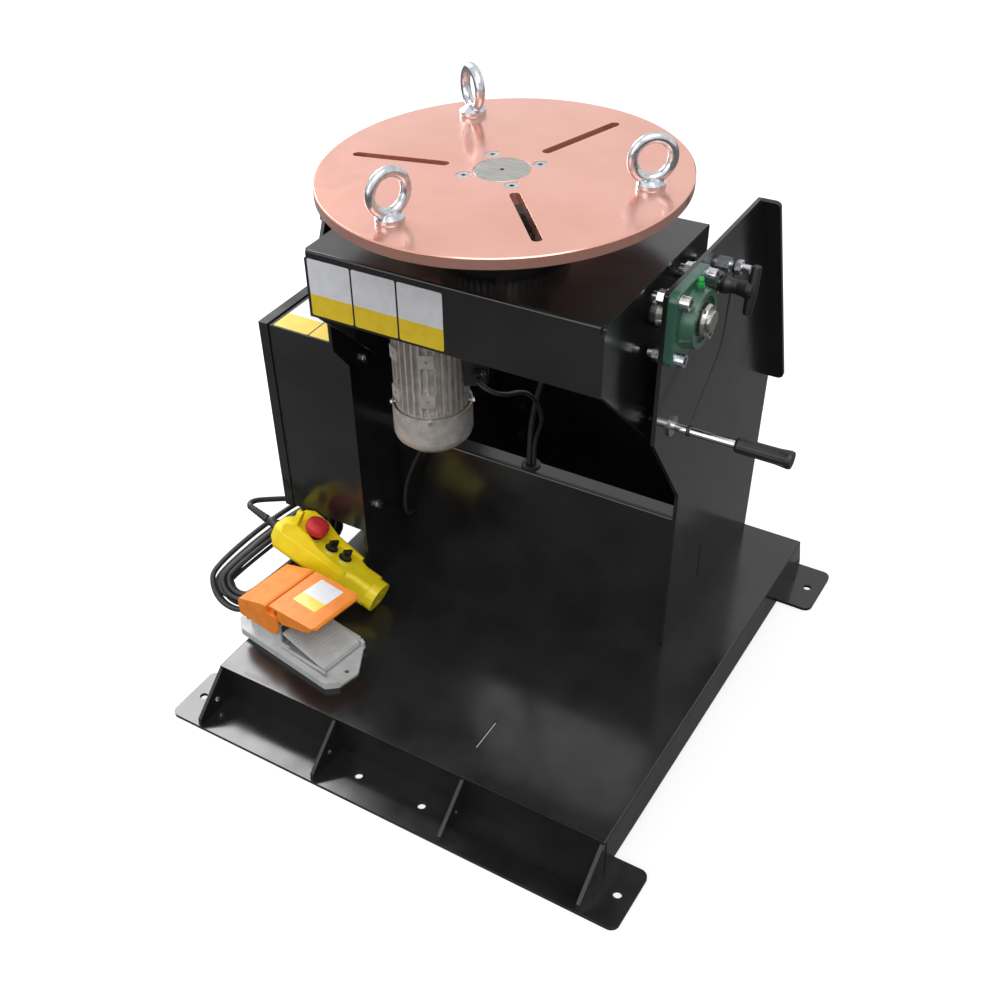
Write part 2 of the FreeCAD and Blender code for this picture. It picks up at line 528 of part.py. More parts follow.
ring_gear = gear(RING_Z, SPINDLE_R, GEAR_LOW, GEAR_T, MOTOR_DIR)
hub = ring(44, SPINDLE_R, FLANGE_Z - 16 - GEAR_LOW - GEAR_T, (0, 0, GEAR_LOW + GEAR_T))
lighten = [cyl(14, 40, (68 * math.cos(math.radians(a)), 68 * math.sin(math.radians(a)), GEAR_LOW - 5))
           for a in range(0, 360, 60)]
save("ring_gear", cut(union([ring_gear, hub]), lighten))
PINION_BORE = 10.0
pinion = gear(PINION_Z, PINION_BORE, GEAR_LOW - 2, GEAR_T + 4, MOTOR_DIR + 180 + 180.0 / PINION_Z)
HUB_LOW = 728.0
house = turned([(SPINDLE_R + 6, HUB_LOW), (52, HUB_LOW), (HOUSING_R, HUB_LOW + 12), (HOUSING_R, CRADLE_TOP),
                (88, CRADLE_TOP), (88, CRADLE_TOP + 12), (SPINDLE_R + 8, CRADLE_TOP + 12), (SPINDLE_R + 8, CRADLE_TOP + 8),
                (45, CRADLE_TOP + 8), (45, CRADLE_TOP - 14), (40, CRADLE_TOP - 14), (40, HUB_LOW + 24), (45, HUB_LOW + 24),
                (45, HUB_LOW + 3), (SPINDLE_R + 6, HUB_LOW + 3)], (0, 0, 0))
mc = cyl(GEARBOX_SPIGOT + 4, 30, (motor.x, motor.y, CRADLE_TOP - 1))
save("spindle_housing", cut(house, [mc] + [cyl(4 + CLEAR, 60, (p.x, p.y, CRADLE_TOP - 20)) for p in house_bolts]))
save("spindle_bearings", *[ring(45 - 0.02, SPINDLE_R + 0.02, 20, (0, 0, z)) for z in (HUB_LOW + 3.5, CRADLE_TOP - 13.5)])
save("table_fasteners", *[table_screw(p) for p in screw_at], ring(NUT_R - 1, SPINDLE_R, 3.0, (0, 0, 724.5)))
cradle_bolts = [union([hexagon(13, 5, (p.x, p.y, CRADLE_TOP + 12)), cyl(4, 30, (p.x, p.y, CRADLE_TOP - 12)),
                       hexagon(13, 6.5, (p.x, p.y, CRADLE_TOP - SHEET), -Z)]) for p in house_bolts]

# Gearmotor hanging under the cradle: gearbox, finned frame, fan cowl, rotor

MOTOR_TOP = MOTOR_LOW + COWL_H + FRAME_H
at_motor = lambda s: moved(s, motor.x, motor.y)
gearbox = turned([(12, MOTOR_TOP), (62, MOTOR_TOP), (62, MOTOR_TOP + 12), (50, MOTOR_TOP + 18), (48, 760), (52, 772),
                  (52, CRADLE_TOP - SHEET), (GEARBOX_SPIGOT, CRADLE_TOP - SHEET), (GEARBOX_SPIGOT, CRADLE_TOP + 6),
                  (PINION_BORE + RUN, CRADLE_TOP + 6), (PINION_BORE + RUN, 700), (12, 700)], (0, 0, 0))
ribs = [spun(box(44, 53, -2.5, 2.5, MOTOR_TOP + 8, 772), a) for a in range(20, 380, 45)]
save("gearbox", at_motor(union([gearbox] + ribs)))
shaft = union([cyl(PINION_BORE, GEAR_LOW + GEAR_T + 4 - 702, (0, 0, 702)),
               ring(15, PINION_BORE, 3, (0, 0, GEAR_LOW + GEAR_T + 2))])
save("drive_pinion", at_motor(pinion), at_motor(shaft))

FIN_LOW = MOTOR_LOW + COWL_H
core = turned([(44, FIN_LOW + 6), (50, FIN_LOW + 6), (50, MOTOR_TOP - 12), (61, MOTOR_TOP - 12), (61, MOTOR_TOP), (44, MOTOR_TOP)],
              (0, 0, 0))
fins = []
for k in range(32):
    a = 360.0 / 32 * k
    fins.append(spun(box(48, MOTOR_R + 1.5, -1.3, 1.3, FIN_LOW + 10, MOTOR_TOP - 11), a + 5.6))
pads = []
for a in (-62, -118):                                    # cast bosses for feet, unused on this mounting
    for z in (FIN_LOW + 30, MOTOR_TOP - 52):
        pads.append(spun(box(48, MOTOR_R + 5, -11, 11, z, z + 22).cut(cyl(2.5, 30, (MOTOR_R - 10, 0, z + 11), X)), a))
rim = ring(57, 44, 6, (0, 0, FIN_LOW + 4))
frame = union([core] + fins + pads + [rim])
cowl = turned([(0, MOTOR_LOW), (48, MOTOR_LOW), (60, MOTOR_LOW + 12), (62.5, MOTOR_LOW + 20), (62.5, FIN_LOW + 8),
               (60.5, FIN_LOW + 8), (60.5, MOTOR_LOW + 21), (58, MOTOR_LOW + 13.5), (47, MOTOR_LOW + 2), (0, MOTOR_LOW + 2)],
              (0, 0, 0))
holes = [spun(box(12, 40, -1.6, 1.6, MOTOR_LOW - 1, MOTOR_LOW + 3), a) for a in range(0, 360, 15)]
holes += [spun(cyl(2.8, 20, (55, 0, FIN_LOW + 4), X), a) for a in (-150, -60, 30, 120)]
save("motor_fan_cowl", at_motor(cut(cowl, holes)))
rotor = union([cyl(12 - RUN, 200, (0, 0, MOTOR_LOW + 14)), cyl(38, 110, (0, 0, FIN_LOW + 24)),
               cyl(20, 12, (0, 0, MOTOR_LOW + 16))] + [spun(box(8, 50, -1.2, 1.2, MOTOR_LOW + 16, MOTOR_LOW + 40), a)
                                                  for a in range(0, 360, 45)])
save("motor_rotor", at_motor(rotor))
shields = [ring(44, 12 + RUN, 6, (0, 0, z)) for z in (FIN_LOW + 8, MOTOR_TOP - 9)]
save("motor_frame", *[at_motor(s) for s in [frame] + shields])
TERM_DEG = 28.0
term = plate_z([(52, -34), (88, -34), (88, 34), (52, 34)], FIN_LOW + 52, FIN_LOW + 122, [0, 6, 6, 0])
term = term.cut(Part.makeCylinder(MOTOR_R + 1.8, 200, V(0, 0, FIN_LOW)))
gland = union([hexagon(20, 8, (74, -34, FIN_LOW + 74), -Y), cyl(9, 8, (74, -42, FIN_LOW + 74), -Y)])
save("motor_terminal_box", at_motor(spun(union([term, gland]), TERM_DEG)))
cowl_screws = [spun(union([hexagon(7, 3, (62.6, 0, FIN_LOW + 4), X), cyl(2.5, 7, (57.2, 0, FIN_LOW + 4), X)]), a)
               for a in (-150, -60, 30, 120)]
save("cradle_fasteners", *cradle_bolts, *[at_motor(s) for s in cowl_screws])

# Electrical cabinet on the left upright

cab = box(CAB_X, -UPRIGHT_OUT, CAB_FRONT, CAB_REAR, CAB_LOW, CAB_TOP)
cab = cab.cut(box(CAB_X - 1, -UPRIGHT_OUT - CAB_T, CAB_FRONT + CAB_T, CAB_REAR - CAB_T, CAB_LOW + CAB_T, CAB_TOP - CAB_T))
rimf = box(CAB_X, CAB_X + 2, CAB_FRONT, CAB_REAR, CAB_LOW, CAB_TOP)
rimf = rimf.cut(box(CAB_X - 1, CAB_X + 4, CAB_FRONT + 16, CAB_REAR - 16, CAB_LOW + 16, CAB_TOP - 16))
GLANDS = [(-340.0, 62.0)] + [(-300.0, y) for y in PASS_Y]
cab = cut(union([cab, rimf]), [cyl(8 + CLEAR, 10, (x, y, CAB_LOW - 4)) for x, y in GLANDS]
          + [cyl(4 + CLEAR, 10, (-UPRIGHT_OUT - 6, y, z), X) for y, z in CAB_BOLTS])
save("cabinet_box", cab)


def frame_of(x0, x1, grow, width):
    a = box(x0, x1, CAB_FRONT - grow, CAB_REAR + grow, CAB_LOW - grow, CAB_TOP + grow)
    return a.cut(box(x0 - 1, x1 + 1, CAB_FRONT - grow + width, CAB_REAR + grow - width, CAB_LOW - grow + width,
                     CAB_TOP + grow - width))


door_x = CAB_X - DOOR_GAP - DOOR_DEPTH
LOCK_YZ = (CAB_FRONT + 20, (CAB_LOW + CAB_TOP) / 2)
door = union([box(door_x, door_x + 2, CAB_FRONT - 2, CAB_REAR + 2, CAB_LOW - 2, CAB_TOP + 2),
              frame_of(door_x, CAB_X - DOOR_GAP, 2, 2)])
save("cabinet_door", cut(door, [cyl(11 + RUN, 20, (door_x - 5, *LOCK_YZ), X)]))
save("door_seal", frame_of(CAB_X - DOOR_GAP + GAP, CAB_X, -1, 12))
lock = union([cyl(11, 14, (door_x - 3, *LOCK_YZ), X), cyl(14, 3, (door_x - 3, *LOCK_YZ), X)])
lock = lock.cut(box(door_x - 4, door_x - 1, LOCK_YZ[0] - 5, LOCK_YZ[0] + 5, LOCK_YZ[1] - 1.5, LOCK_YZ[1] + 1.5))
cam = box(door_x + 7, door_x + 10, LOCK_YZ[0] - 6, LOCK_YZ[0] + 6, LOCK_YZ[1] - 6, LOCK_YZ[1] + 30)
save("door_lock", union([lock, cam]))
HINGE = (CAB_X - 2.5, CAB_REAR + 7)
hinges = []
for z in (CAB_LOW + 50, CAB_TOP - 90):
    hinges.append(union([ring(4, 2.05, 18, (*HINGE, z)), box(HINGE[0] + 2.8, HINGE[0] + 22, CAB_REAR, CAB_REAR + 3, z, z + 18),
                         box(HINGE[0] + 2.2, HINGE[0] + 5, CAB_REAR, CAB_REAR + 7, z, z + 18)]))
save("hinge_fixed_leaves", *hinges)
leaves = []
for z in (CAB_LOW + 50, CAB_TOP - 90):
    leaves.append(union([cyl(2, 38, (*HINGE, z)), ring(4, 1.9, 18, (*HINGE, z + 18.5)),
                         box(HINGE[0] - 16, HINGE[0] - 2.8, CAB_REAR + 2, CAB_REAR + 5, z + 18.5, z + 36.5)]))
save("hinge_door_leaves", *leaves)


def gland_at(x, y):
    g = union([hexagon(22, 6, (x, y, CAB_LOW), -Z), turned([(0, 0), (9, 0), (9.5, 2), (9.5, 10), (6.5, 14), (0, 14)],
                                                          (x, y, CAB_LOW - 6), -Z),
               cyl(8, 12, (x, y, CAB_LOW)), hexagon(22, 4, (x, y, CAB_LOW + CAB_T), Z)])
    return g.cut(cyl(4.2, 60, (x, y, CAB_LOW - 30)))


glands = [gland_at(*g) for g in GLANDS]
frame_bolts += [union([hexagon(13, 5.5, (-UPRIGHT_OUT + UPRIGHT_T + 1.6, y, z), X), cyl(8, 1.6, (-UPRIGHT_OUT + UPRIGHT_T, y, z), X),
                    cyl(4, 22, (-UPRIGHT_OUT - CAB_T - 11, y, z), X), hexagon(13, 6.5, (-UPRIGHT_OUT - CAB_T, y, z), -X)])
             for y, z in CAB_BOLTS]
save("frame_bolts", *frame_bolts)
BP_X = -UPRIGHT_OUT - CAB_T - 14
back_plate = [box(BP_X - 2, BP_X, CAB_FRONT + 22, CAB_REAR - 22, CAB_LOW + 24, CAB_TOP - 24),
     *[box(BP_X, -UPRIGHT_OUT - CAB_T, y - 6, y + 6, z - 6, z + 6) for y in (CAB_FRONT + 70, CAB_REAR - 70)
       for z in (CAB_LOW + 70, CAB_TOP - 70)]]
inv = union([box(BP_X - 97, BP_X - 2, 20, 100, 360, 510)] + [box(BP_X - 100, BP_X - 97, 26 + 8 * k, 30 + 8 * k, 366, 450)
                                                            for k in range(8)])
rail = union([box(BP_X - 9, BP_X - 2, 10, 215, 275, 310)] + [box(BP_X - 70, BP_X - 9, 20 + 46 * k, 60 + 46 * k, 255, 330)
                                                           for k in range(4)])
save("cabinet_switchgear", *back_plate, inv, rail)

# Control pendant, propped at its cable end and resting on the deck

PEND_TILT, PEND_ROLL, PEND_L = 20.0, 15.0, 228.0
PEND_LOW = V(-202, -87.5, DECK_TOP + 27.5)
PEND_AT = PEND_LOW - FreeCAD.Rotation(Y, PEND_TILT).multVec(V(PEND_L, 0, 0))


def on_pendant(s):
    c = s.copy()
    c.rotate(V(0, 0, 0), X, -PEND_ROLL)
    c.rotate(V(0, 0, 0), Y, PEND_TILT)
    c.translate(PEND_AT)
    return c


HEAD, GRIP = rect(-34, 34, -25, 25), rect(-27, 27, -25, 25)


def section(points, radii, x):
    return Part.Wire(outline(points, radii, V(x, 0, 0), Y, Z).OuterWire)


head = Part.makeLoft([section(rect(-20, 20, -17, 17), 9, 0), section(HEAD, [14, 14, 8, 8], 16)], True)
deep = outline(HEAD, [14, 14, 8, 8], V(16, 0, 0), Y, Z).extrude(V(140, 0, 0))
handle = outline(GRIP, [16, 16, 10, 10], V(176, 0, 0), Y, Z).extrude(V(PEND_L - 196, 0, 0))
neck = Part.makeLoft([section(HEAD, [14, 14, 8, 8], 156), section(GRIP, [16, 16, 10, 10], 176)], True)
rails = [plate_y([(22, 20), (160, 20), (160, 27), (132, 31), (98, 36), (70, 47), (40, 50), (22, 40)], a, a + 4, [0, 0, 2, 4, 4, 6, 6, 3])
         for a in (-34, 30)]
lug = plate_x([(-8, 20), (8, 20), (6, 58), (-6, 58)], 24, 34, [0, 0, 5, 5])
body = union([head, deep, neck, handle, lug] + rails)
ESTOP_X, SEL_X = 68.0, (108.0, 138.0)
body = cut(body, [cyl(9, 30, (ESTOP_X, 0, 5))] + [cyl(6.5, 30, (x, 0, 5)) for x in SEL_X] + [cyl(5, 30, (-10, 0, 0), X)])
cap = outline(rect(-28, 28, -26, 26), 22, V(PEND_L - 20, 0, 0), Y, Z).extrude(V(18, 0, 0))
cap = cut(cap, [box(PEND_L - 4, PEND_L + 1, a, a + 14, b, b + 5) for a, b in ((-7, 8), (-7, -12))])
save("pendant_shell", on_pendant(body), on_pendant(cap))
glands.append(on_pendant(union([hexagon(18, 8, (0, 0, 0), -X),
                                turned([(0, 0), (8.5, 0), (8.5, 8), (5.5, 18), (0, 18)], (-8, 0, 0), -X)])
                         .cut(cyl(4.0, 80, (5, 0, 0), -X))))
estop_base = ring(15, 9, 6, (ESTOP_X, 0, 25)).fuse(ring(9, 5 + RUN, 20, (ESTOP_X, 0, 8))).removeSplitter()
mush = turned([(0, 18), (5, 18), (5, 36), (14, 36), (14, 39), (19.5, 40.5), (21, 43), (21, 53), (19, 58), (14, 61), (7, 62.5), (0, 63)],
              (ESTOP_X, 0, 0))
save("estop_button", on_pendant(mush))
bez = [ring(12, 6.5, 4, (x, 0, 25)).fuse(ring(6.5, 4 + RUN, 17, (x, 0, 10))).removeSplitter() for x in SEL_X]
save("pendant_bezels", on_pendant(estop_base), *[on_pendant(b) for b in bez])


def knob(x, turn):
    k = union([cyl(4, 20, (x, 0, 11)), turned([(0, 30), (8.5, 30), (9, 31), (8, 38), (0, 38)], (x, 0, 0)),
               plate_x([(-3, 36), (3, 36), (2.4, 46), (-2.4, 46)], x - 8.5, x + 8.5)])
    return on_pendant(spun(k, turn, (x, 0, 0)))


save("left_selector_knob", knob(SEL_X[0], 60))
save("right_selector_knob", knob(SEL_X[1], 60))

# Foot switch: cast base, treadle, guard flap, pins

PED_AT, PED_TURN = V(-272, -217, DECK_TOP), -9.0


def on_pedal(s):
    c = s.copy()
    c.rotate(V(0, 0, 0), Z, PED_TURN)
    c.translate(PED_AT)
    return c


foot = [(-122, -42), (-100, -60), (110, -64), (126, -46), (130, -4), (92, 50), (84, 56), (-100, 58), (-100, -16), (-122, -22)]
pbase = plate_z(foot, 0, 14, [7, 6, 10, 8, 12, 6, 8, 10, 0, 7])
well = plate_z([(-10, -50), (104, -52), (116, -40), (118, -8), (84, 42), (-10, 46)], 5, 30, [3, 6, 6, 8, 8, 3])
TOWER = [(-97, -46), (-12, -46), (-12, 55), (-97, 55)]
tower = plate_z(TOWER, 0, 60, [14, 3, 3, 14])
room = plate_z([(-91, -40), (-8, -40), (-8, 49), (-91, 49)], 8, 54, [9, 0, 0, 9])
ears = [cyl(4.25, 40, (u, v, -2)) for u, v in ((-109, -33), (112, -13))]
cheeks = [box(-18, 96, a, a + 4, 2, 24) for a in (-49, 45)]
cheeks = [c.cut(box(10, 97, -80, 80, 18, 40)) for c in cheeks]
GUARD_AXIS, TREAD_AXIS = (-16.0, 96.0), (82.0, 12.0)
pbase = union([pbase.cut(well), tower.cut(room)] + cheeks)
pbase = cut(pbase, ears + [cyl(3, 120, (TREAD_AXIS[0], -50, TREAD_AXIS[1]), Y),
                           box(-9.9, 200, -44.9, 44.9, 5, 60).cut(box(-20, 300, -90, 90, 0, 4)),
                           cyl(4.5, 30, (-60, 40, 24), Y)])
HOOD_SIDE = [(-104, 42), (-16, 42), (-4, 60), (-4, 86), (-28, 86), (-30, 100), (-36, 101), (-104, 78)]
hood = plate_y(HOOD_SIDE, -53, 62, [3, 3, 3, 0, 0, 2, 4, 8])
hood = hood.cut(plate_y([(-100, 30), (-16, 30), (10, 60), (10, 83), (-31, 83), (-38, 96), (-100, 74)], -49, 58))
lugs = [box(-19.5, -12.5, a, a + 6, 84, GUARD_AXIS[1]).fuse(cyl(3.5, 6, (GUARD_AXIS[0], a, GUARD_AXIS[1]), Y))
        for a in (-49, 52)]
feet = [box(-90, -20, a, b, 60, 66) for a, b in ((-49, -40), (49, 58))]
hood = union([hood] + lugs + feet).cut(cyl(2, 140, (GUARD_AXIS[0], -60, GUARD_AXIS[1]), Y))
tread = plate_y([(-8, 41), (-8, 45), (88, 19), (90, 8), (78, 8), (74, 18)], -43, 43, [0, 1, 3, 3, 3, 0])
treads = [plate_y([(-2 + 7 * k, 42.4 - 1.9 * k), (2 + 7 * k, 41.3 - 1.9 * k), (2 + 7 * k, 43.3 - 1.9 * k),
                   (-2 + 7 * k, 44.4 - 1.9 * k)], -38, 38) for k in range(12)]
tread = union([tread] + treads).cut(cyl(3 + RUN, 120, (TREAD_AXIS[0], -60, TREAD_AXIS[1]), Y))
flap = plate_y([(-24, 101), (-22, 105), (82, 111), (86, 108), (86, 105), (80, 107), (-10, 101.5)], -51, 60, 0)
hubs = [ring(5, 2 + RUN, 11, (GUARD_AXIS[0], a, GUARD_AXIS[1]), Y) for a in (-42.7, 40.7)]
webs = [box(-19, -13, a, a + 11, 99, 103) for a in (-42.7, 40.7)]
skirts = [plate_y([(-3, 103), (80, 107), (70, 96), (8, 78), (-3, 80)], a, a + 3, [0, 0, 6, 6, 2]) for a in (-51, 57)]
corner = [plate_z([(70, -60), (95, -60), (95, -34)], 90, 130), plate_z([(78, 62), (95, 44), (95, 62)], 90, 130)]
flap = cut(union([flap] + hubs + webs + skirts), corner + [cyl(2 + RUN, 140, (GUARD_AXIS[0], -60, GUARD_AXIS[1]), Y)])
pins = [cyl(3 - 0.05, 96, (TREAD_AXIS[0], -48, TREAD_AXIS[1]), Y), cyl(2 - 0.05, 107, (GUARD_AXIS[0], -49, GUARD_AXIS[1]), Y)]
save("pedal_base", on_pedal(pbase), on_pedal(pins[0]))
save("pedal_hood", on_pedal(hood), on_pedal(pins[1]))
save("pedal_treadle", on_pedal(tread))
save("pedal_guard", on_pedal(flap))
glands.append(on_pedal(union([hexagon(14, 6, (-60, 55, 24), Y), turned([(0, 0), (6.5, 0), (6.5, 6), (4.5, 14), (0, 14)],
                                                                       (-60, 61, 24), Y)]).cut(cyl(3.5, 60, (-60, 45, 24), Y))))
save("cable_glands", *glands)

# Spare lead, coiled and hung under the cabinet; the leads to pendant and pedal; cables to the motor

COIL_A, COIL_B, COIL_R, COIL_T = V(-438, -172, 108), V(-398, -12, 138), 42.0, 17.0
e1 = (COIL_B - COIL_A).normalize()
e3 = e1.cross(V(0.97, -0.243, -0.38)).normalize()
e2 = e3.cross(e1)
coil_l = (COIL_B - COIL_A).Length
ends = [Part.makeTorus(COIL_R, COIL_T, V(0, 0, 0)).common(box(-200, 0, -200, 200, -50, 50)),
        Part.makeTorus(COIL_R, COIL_T, V(coil_l, 0, 0)).common(box(coil_l, 400, -200, 200, -50, 50))]
coil = union(ends + [cyl(COIL_T, coil_l, (0, a, 0), X) for a in (-COIL_R, COIL_R)])


def on_coil(l, w, out=0.0):
    """A point on the coil's plane: l along it from the front bend, w to the right."""
    return COIL_A + e1 * l + e2 * w + e3 * out


coil.transformShape(FreeCAD.Matrix(e1.x, e2.x, e3.x, COIL_A.x, e1.y, e2.y, e3.y, COIL_A.y, e1.z, e2.z, e3.z, COIL_A.z, 0, 0, 0, 1))
save("lead_coil", coil)

PEND_CABLE_R, PED_CABLE_R, MOTOR_CABLE_R, SENSE_R = 4.0, 3.5, 6.0, 3.5


def seat(p, q, r):
    """The point on a round bundle of radius r about p, on the side that faces q."""
    return p + (q - p).normalize() * r


gland_tip = [V(x, y, CAB_LOW - 20) for x, y in GLANDS]
a1 = gland_tip[0] + V(0, 0, -14)
save("cabinet_to_coil_lead", cord([gland_tip[0], a1, seat(on_coil(coil_l + 29.7, 29.7), a1, COIL_T + 0.5)], PEND_CABLE_R))
turn_p = FreeCAD.Rotation(Y, PEND_TILT)
p0 = PEND_AT + turn_p.multVec(V(-26, 0, 0))
p1 = PEND_AT + turn_p.multVec(V(-50, 0, 0))
p2 = p1 + V(-10, 34, -6)
save("pendant_lead", cord([p0, p1, p2, seat(on_coil(coil_l - 6, -COIL_R), p2, COIL_T + 0.5)], PEND_CABLE_R))
turn_f = FreeCAD.Rotation(Z, PED_TURN)
f0 = PED_AT + turn_f.multVec(V(-60, 75.2, 24))
f1 = PED_AT + turn_f.multVec(V(-62, 96, 22))
f2 = V(-352, -100, 101)
save("pedal_lead", cord([f0, f1, f2, seat(on_coil(76, COIL_R), f2, COIL_T + 0.5)], PED_CABLE_R))
print("lead ends", [tuple(round(c) for c in q) for q in (p0, p1, p2, f0, f1, f2)])

# Three leads from the cradle, through the cross panel and the left upright, up into the cabinet


def to_cabinet(k):
    x, y = GLANDS[1 + k]
    return [V(-276, y, PASS_Z), V(x, y, PASS_Z + 4), gland_tip[1 + k]]


hole = V(*CABLE_HOLE, PANEL_TOP)
h1, h2 = hole + V(-3.6, 0, 0), hole + V(5.2, 0, 0)
supply = [V(60, 120, CRADLE_TOP - SHEET), V(60, 120, 720), V(46, 124, 640), V(14, 118, 550), V(-8, 106, 450), h1 + V(0, 0, 30),
          h1 + V(0, 0, -60), h1 + V(0, 4, -130), V(-50, 110, 160), V(-130, 112, 152), V(-205, 108, 149)]
save("table_cable", cord(supply + to_cabinet(0), 4.8))
box_at = lambda x, y: at_motor(spun(Part.Vertex(V(x, y, FIN_LOW + 74)), TERM_DEG)).Point
td = FreeCAD.Rotation(Z, TERM_DEG).multVec(V(0, -1, 0))
g1, g2 = box_at(74, -50), box_at(74, 50)
motor_lead = [g1, g1 + td * 13, g1 + td * 13 + V(34, 8, -16), V(22, 30, 540), V(26, 64, 495), V(18, 92, 445), h2 + V(2, 0, 56),
              h2 + V(0, 0, 12), h2 + V(0, 2, -52), h2 + V(0, 26, -120), V(-44, 140, 170), V(-120, 142, 152), V(-205, 139, 149)]
save("motor_cable", cord(motor_lead + to_cabinet(1), SENSE_R))
sense = [g2, g2 - td * 13, g2 - td * 22 + V(-26, 4, -30), V(-108, 74, 480), V(-150, 62, 420), V(-196, 52, 340), V(-228, 48, 262),
         V(-234, 50, 192), V(-234, 76, SENSE_AT[1]), V(-234, 120, SENSE_AT[1]), V(-236, 164, 172), V(-250, 170, PASS_Z)]
save("brake_cable", cord(sense + to_cabinet(2), 3.5))

print("bend radii over diameter:", radii)
total = sum(len(s.Solids) for s in made.values())
bb = Part.makeCompound(list(made.values())).BoundBox
print(len(made), "nodes", total, "solids", "box", [round(v, 1) for v in (bb.XMin, bb.XMax, bb.YMin, bb.YMax, bb.ZMin, bb.ZMax)])
for name, s in made.items():
    if not s.isValid() or any(q.Volume <= 0 for q in s.Solids) or not s.Solids:
        print("CHECK", name, s.isValid(), [round(q.Volume) for q in s.Solids])
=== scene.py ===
# %% [markdown]
# # A welding positioner
# The machine is a round slotted table that turns on a tilting cradle, carried by two plate uprights on a
# folded steel base. The CAD pack gives every piece in place, in metres. This lesson adds the camera, the
# soft leads, the finishes and the small made details, and leaves every hard piece where the pack has it.

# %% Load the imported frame
import math

import bmesh
import bpy
from mathutils import Matrix, Vector


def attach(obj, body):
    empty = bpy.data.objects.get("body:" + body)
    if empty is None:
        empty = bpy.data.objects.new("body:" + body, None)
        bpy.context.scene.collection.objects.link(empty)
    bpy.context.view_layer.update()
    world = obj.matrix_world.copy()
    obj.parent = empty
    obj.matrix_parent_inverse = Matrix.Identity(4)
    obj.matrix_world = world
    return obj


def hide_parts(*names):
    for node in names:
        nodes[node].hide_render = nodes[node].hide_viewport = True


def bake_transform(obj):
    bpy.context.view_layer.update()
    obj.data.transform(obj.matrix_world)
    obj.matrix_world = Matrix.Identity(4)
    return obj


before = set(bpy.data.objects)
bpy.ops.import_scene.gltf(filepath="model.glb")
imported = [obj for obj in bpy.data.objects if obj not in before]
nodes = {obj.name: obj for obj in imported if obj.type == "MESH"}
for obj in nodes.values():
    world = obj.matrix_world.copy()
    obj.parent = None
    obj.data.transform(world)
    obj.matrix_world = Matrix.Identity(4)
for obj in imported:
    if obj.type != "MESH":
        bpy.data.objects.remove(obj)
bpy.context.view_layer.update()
MM = 0.001
BOLT_MIDDLE = 29.25  # the drawing counts y from the table's axis, the pack from the middle of the floor bolts


def place(x, y, z):
    """A point of the drawing, in millimetres, as a place in the frame, in metres."""
    return Vector((x, y - BOLT_MIDDLE, z)) * MM


# %% [markdown]
# ## The camera
# It stands in front and to the right, well above the table, and looks down at the machine. Its direction
# is given by a heading, a tilt and a slight roll, because those three are easy to read. The matrix is
# built from the right, up and backward directions, which is what a camera's object matrix holds.

# %% Camera
HEADING, TILT, ROLL = (math.radians(a) for a in (36.5, -42.0, -4.6))
CAMERA_AT = place(805.7, -1384.9, 1575.7)
SENSOR_MM, LENS_MM = 36.0, 45.0
SHIFT_X, SHIFT_Y = 0.0976, 0.1018  # shares of the picture's width that the view looks off the axis
FAR_CLIP = 60.0
forward = Vector((-math.sin(HEADING) * math.cos(TILT), math.cos(HEADING) * math.cos(TILT), math.sin(TILT)))
level = Vector((math.cos(HEADING), math.sin(HEADING), 0))
upright_way = level.cross(forward)
right = math.cos(ROLL) * level + math.sin(ROLL) * upright_way
up = -math.sin(ROLL) * level + math.cos(ROLL) * upright_way

camera_data = bpy.data.cameras.new("camera")
camera_data.sensor_width, camera_data.lens = SENSOR_MM, LENS_MM
camera_data.shift_x, camera_data.shift_y = SHIFT_X, SHIFT_Y
camera_data.clip_end = FAR_CLIP
camera = bpy.data.objects.new("camera", camera_data)
turn = Matrix((right, up, -forward)).transposed().to_4x4()
camera.matrix_world = Matrix.Translation(CAMERA_AT) @ turn
bpy.context.scene.collection.objects.link(camera)
bpy.context.scene.camera = camera
print("camera at", [round(c, 3) for c in camera.location])

# %% [markdown]
# ## Colours and nodes
# Paint cards and screens give colours in sRGB, but a shader works in linear light. One function turns a
# hex value to linear. One more adds a shader node with its settings and links, so that every finish below
# reads as a short list.

# %% Colour and node helpers
def linear(code):
    """An sRGB hex value as a linear colour."""
    parts = [int(code[i:i + 2], 16) / 255 for i in (1, 3, 5)]
    return tuple(c / 12.92 if c <= 0.04045 else ((c + 0.055) / 1.055) ** 2.4 for c in parts) + (1.0,)


def add(tree, kind, inputs=None, **settings):
    """Add a node. Inputs are numbers, colours or another node's output."""
    node = tree.nodes.new(kind)
    for name, value in settings.items():
        setattr(node, name, value)
    for key, value in (inputs or {}).items():
        if isinstance(value, bpy.types.NodeSocket):
            tree.links.new(value, node.inputs[key])
        else:
            node.inputs[key].default_value = value
    return node


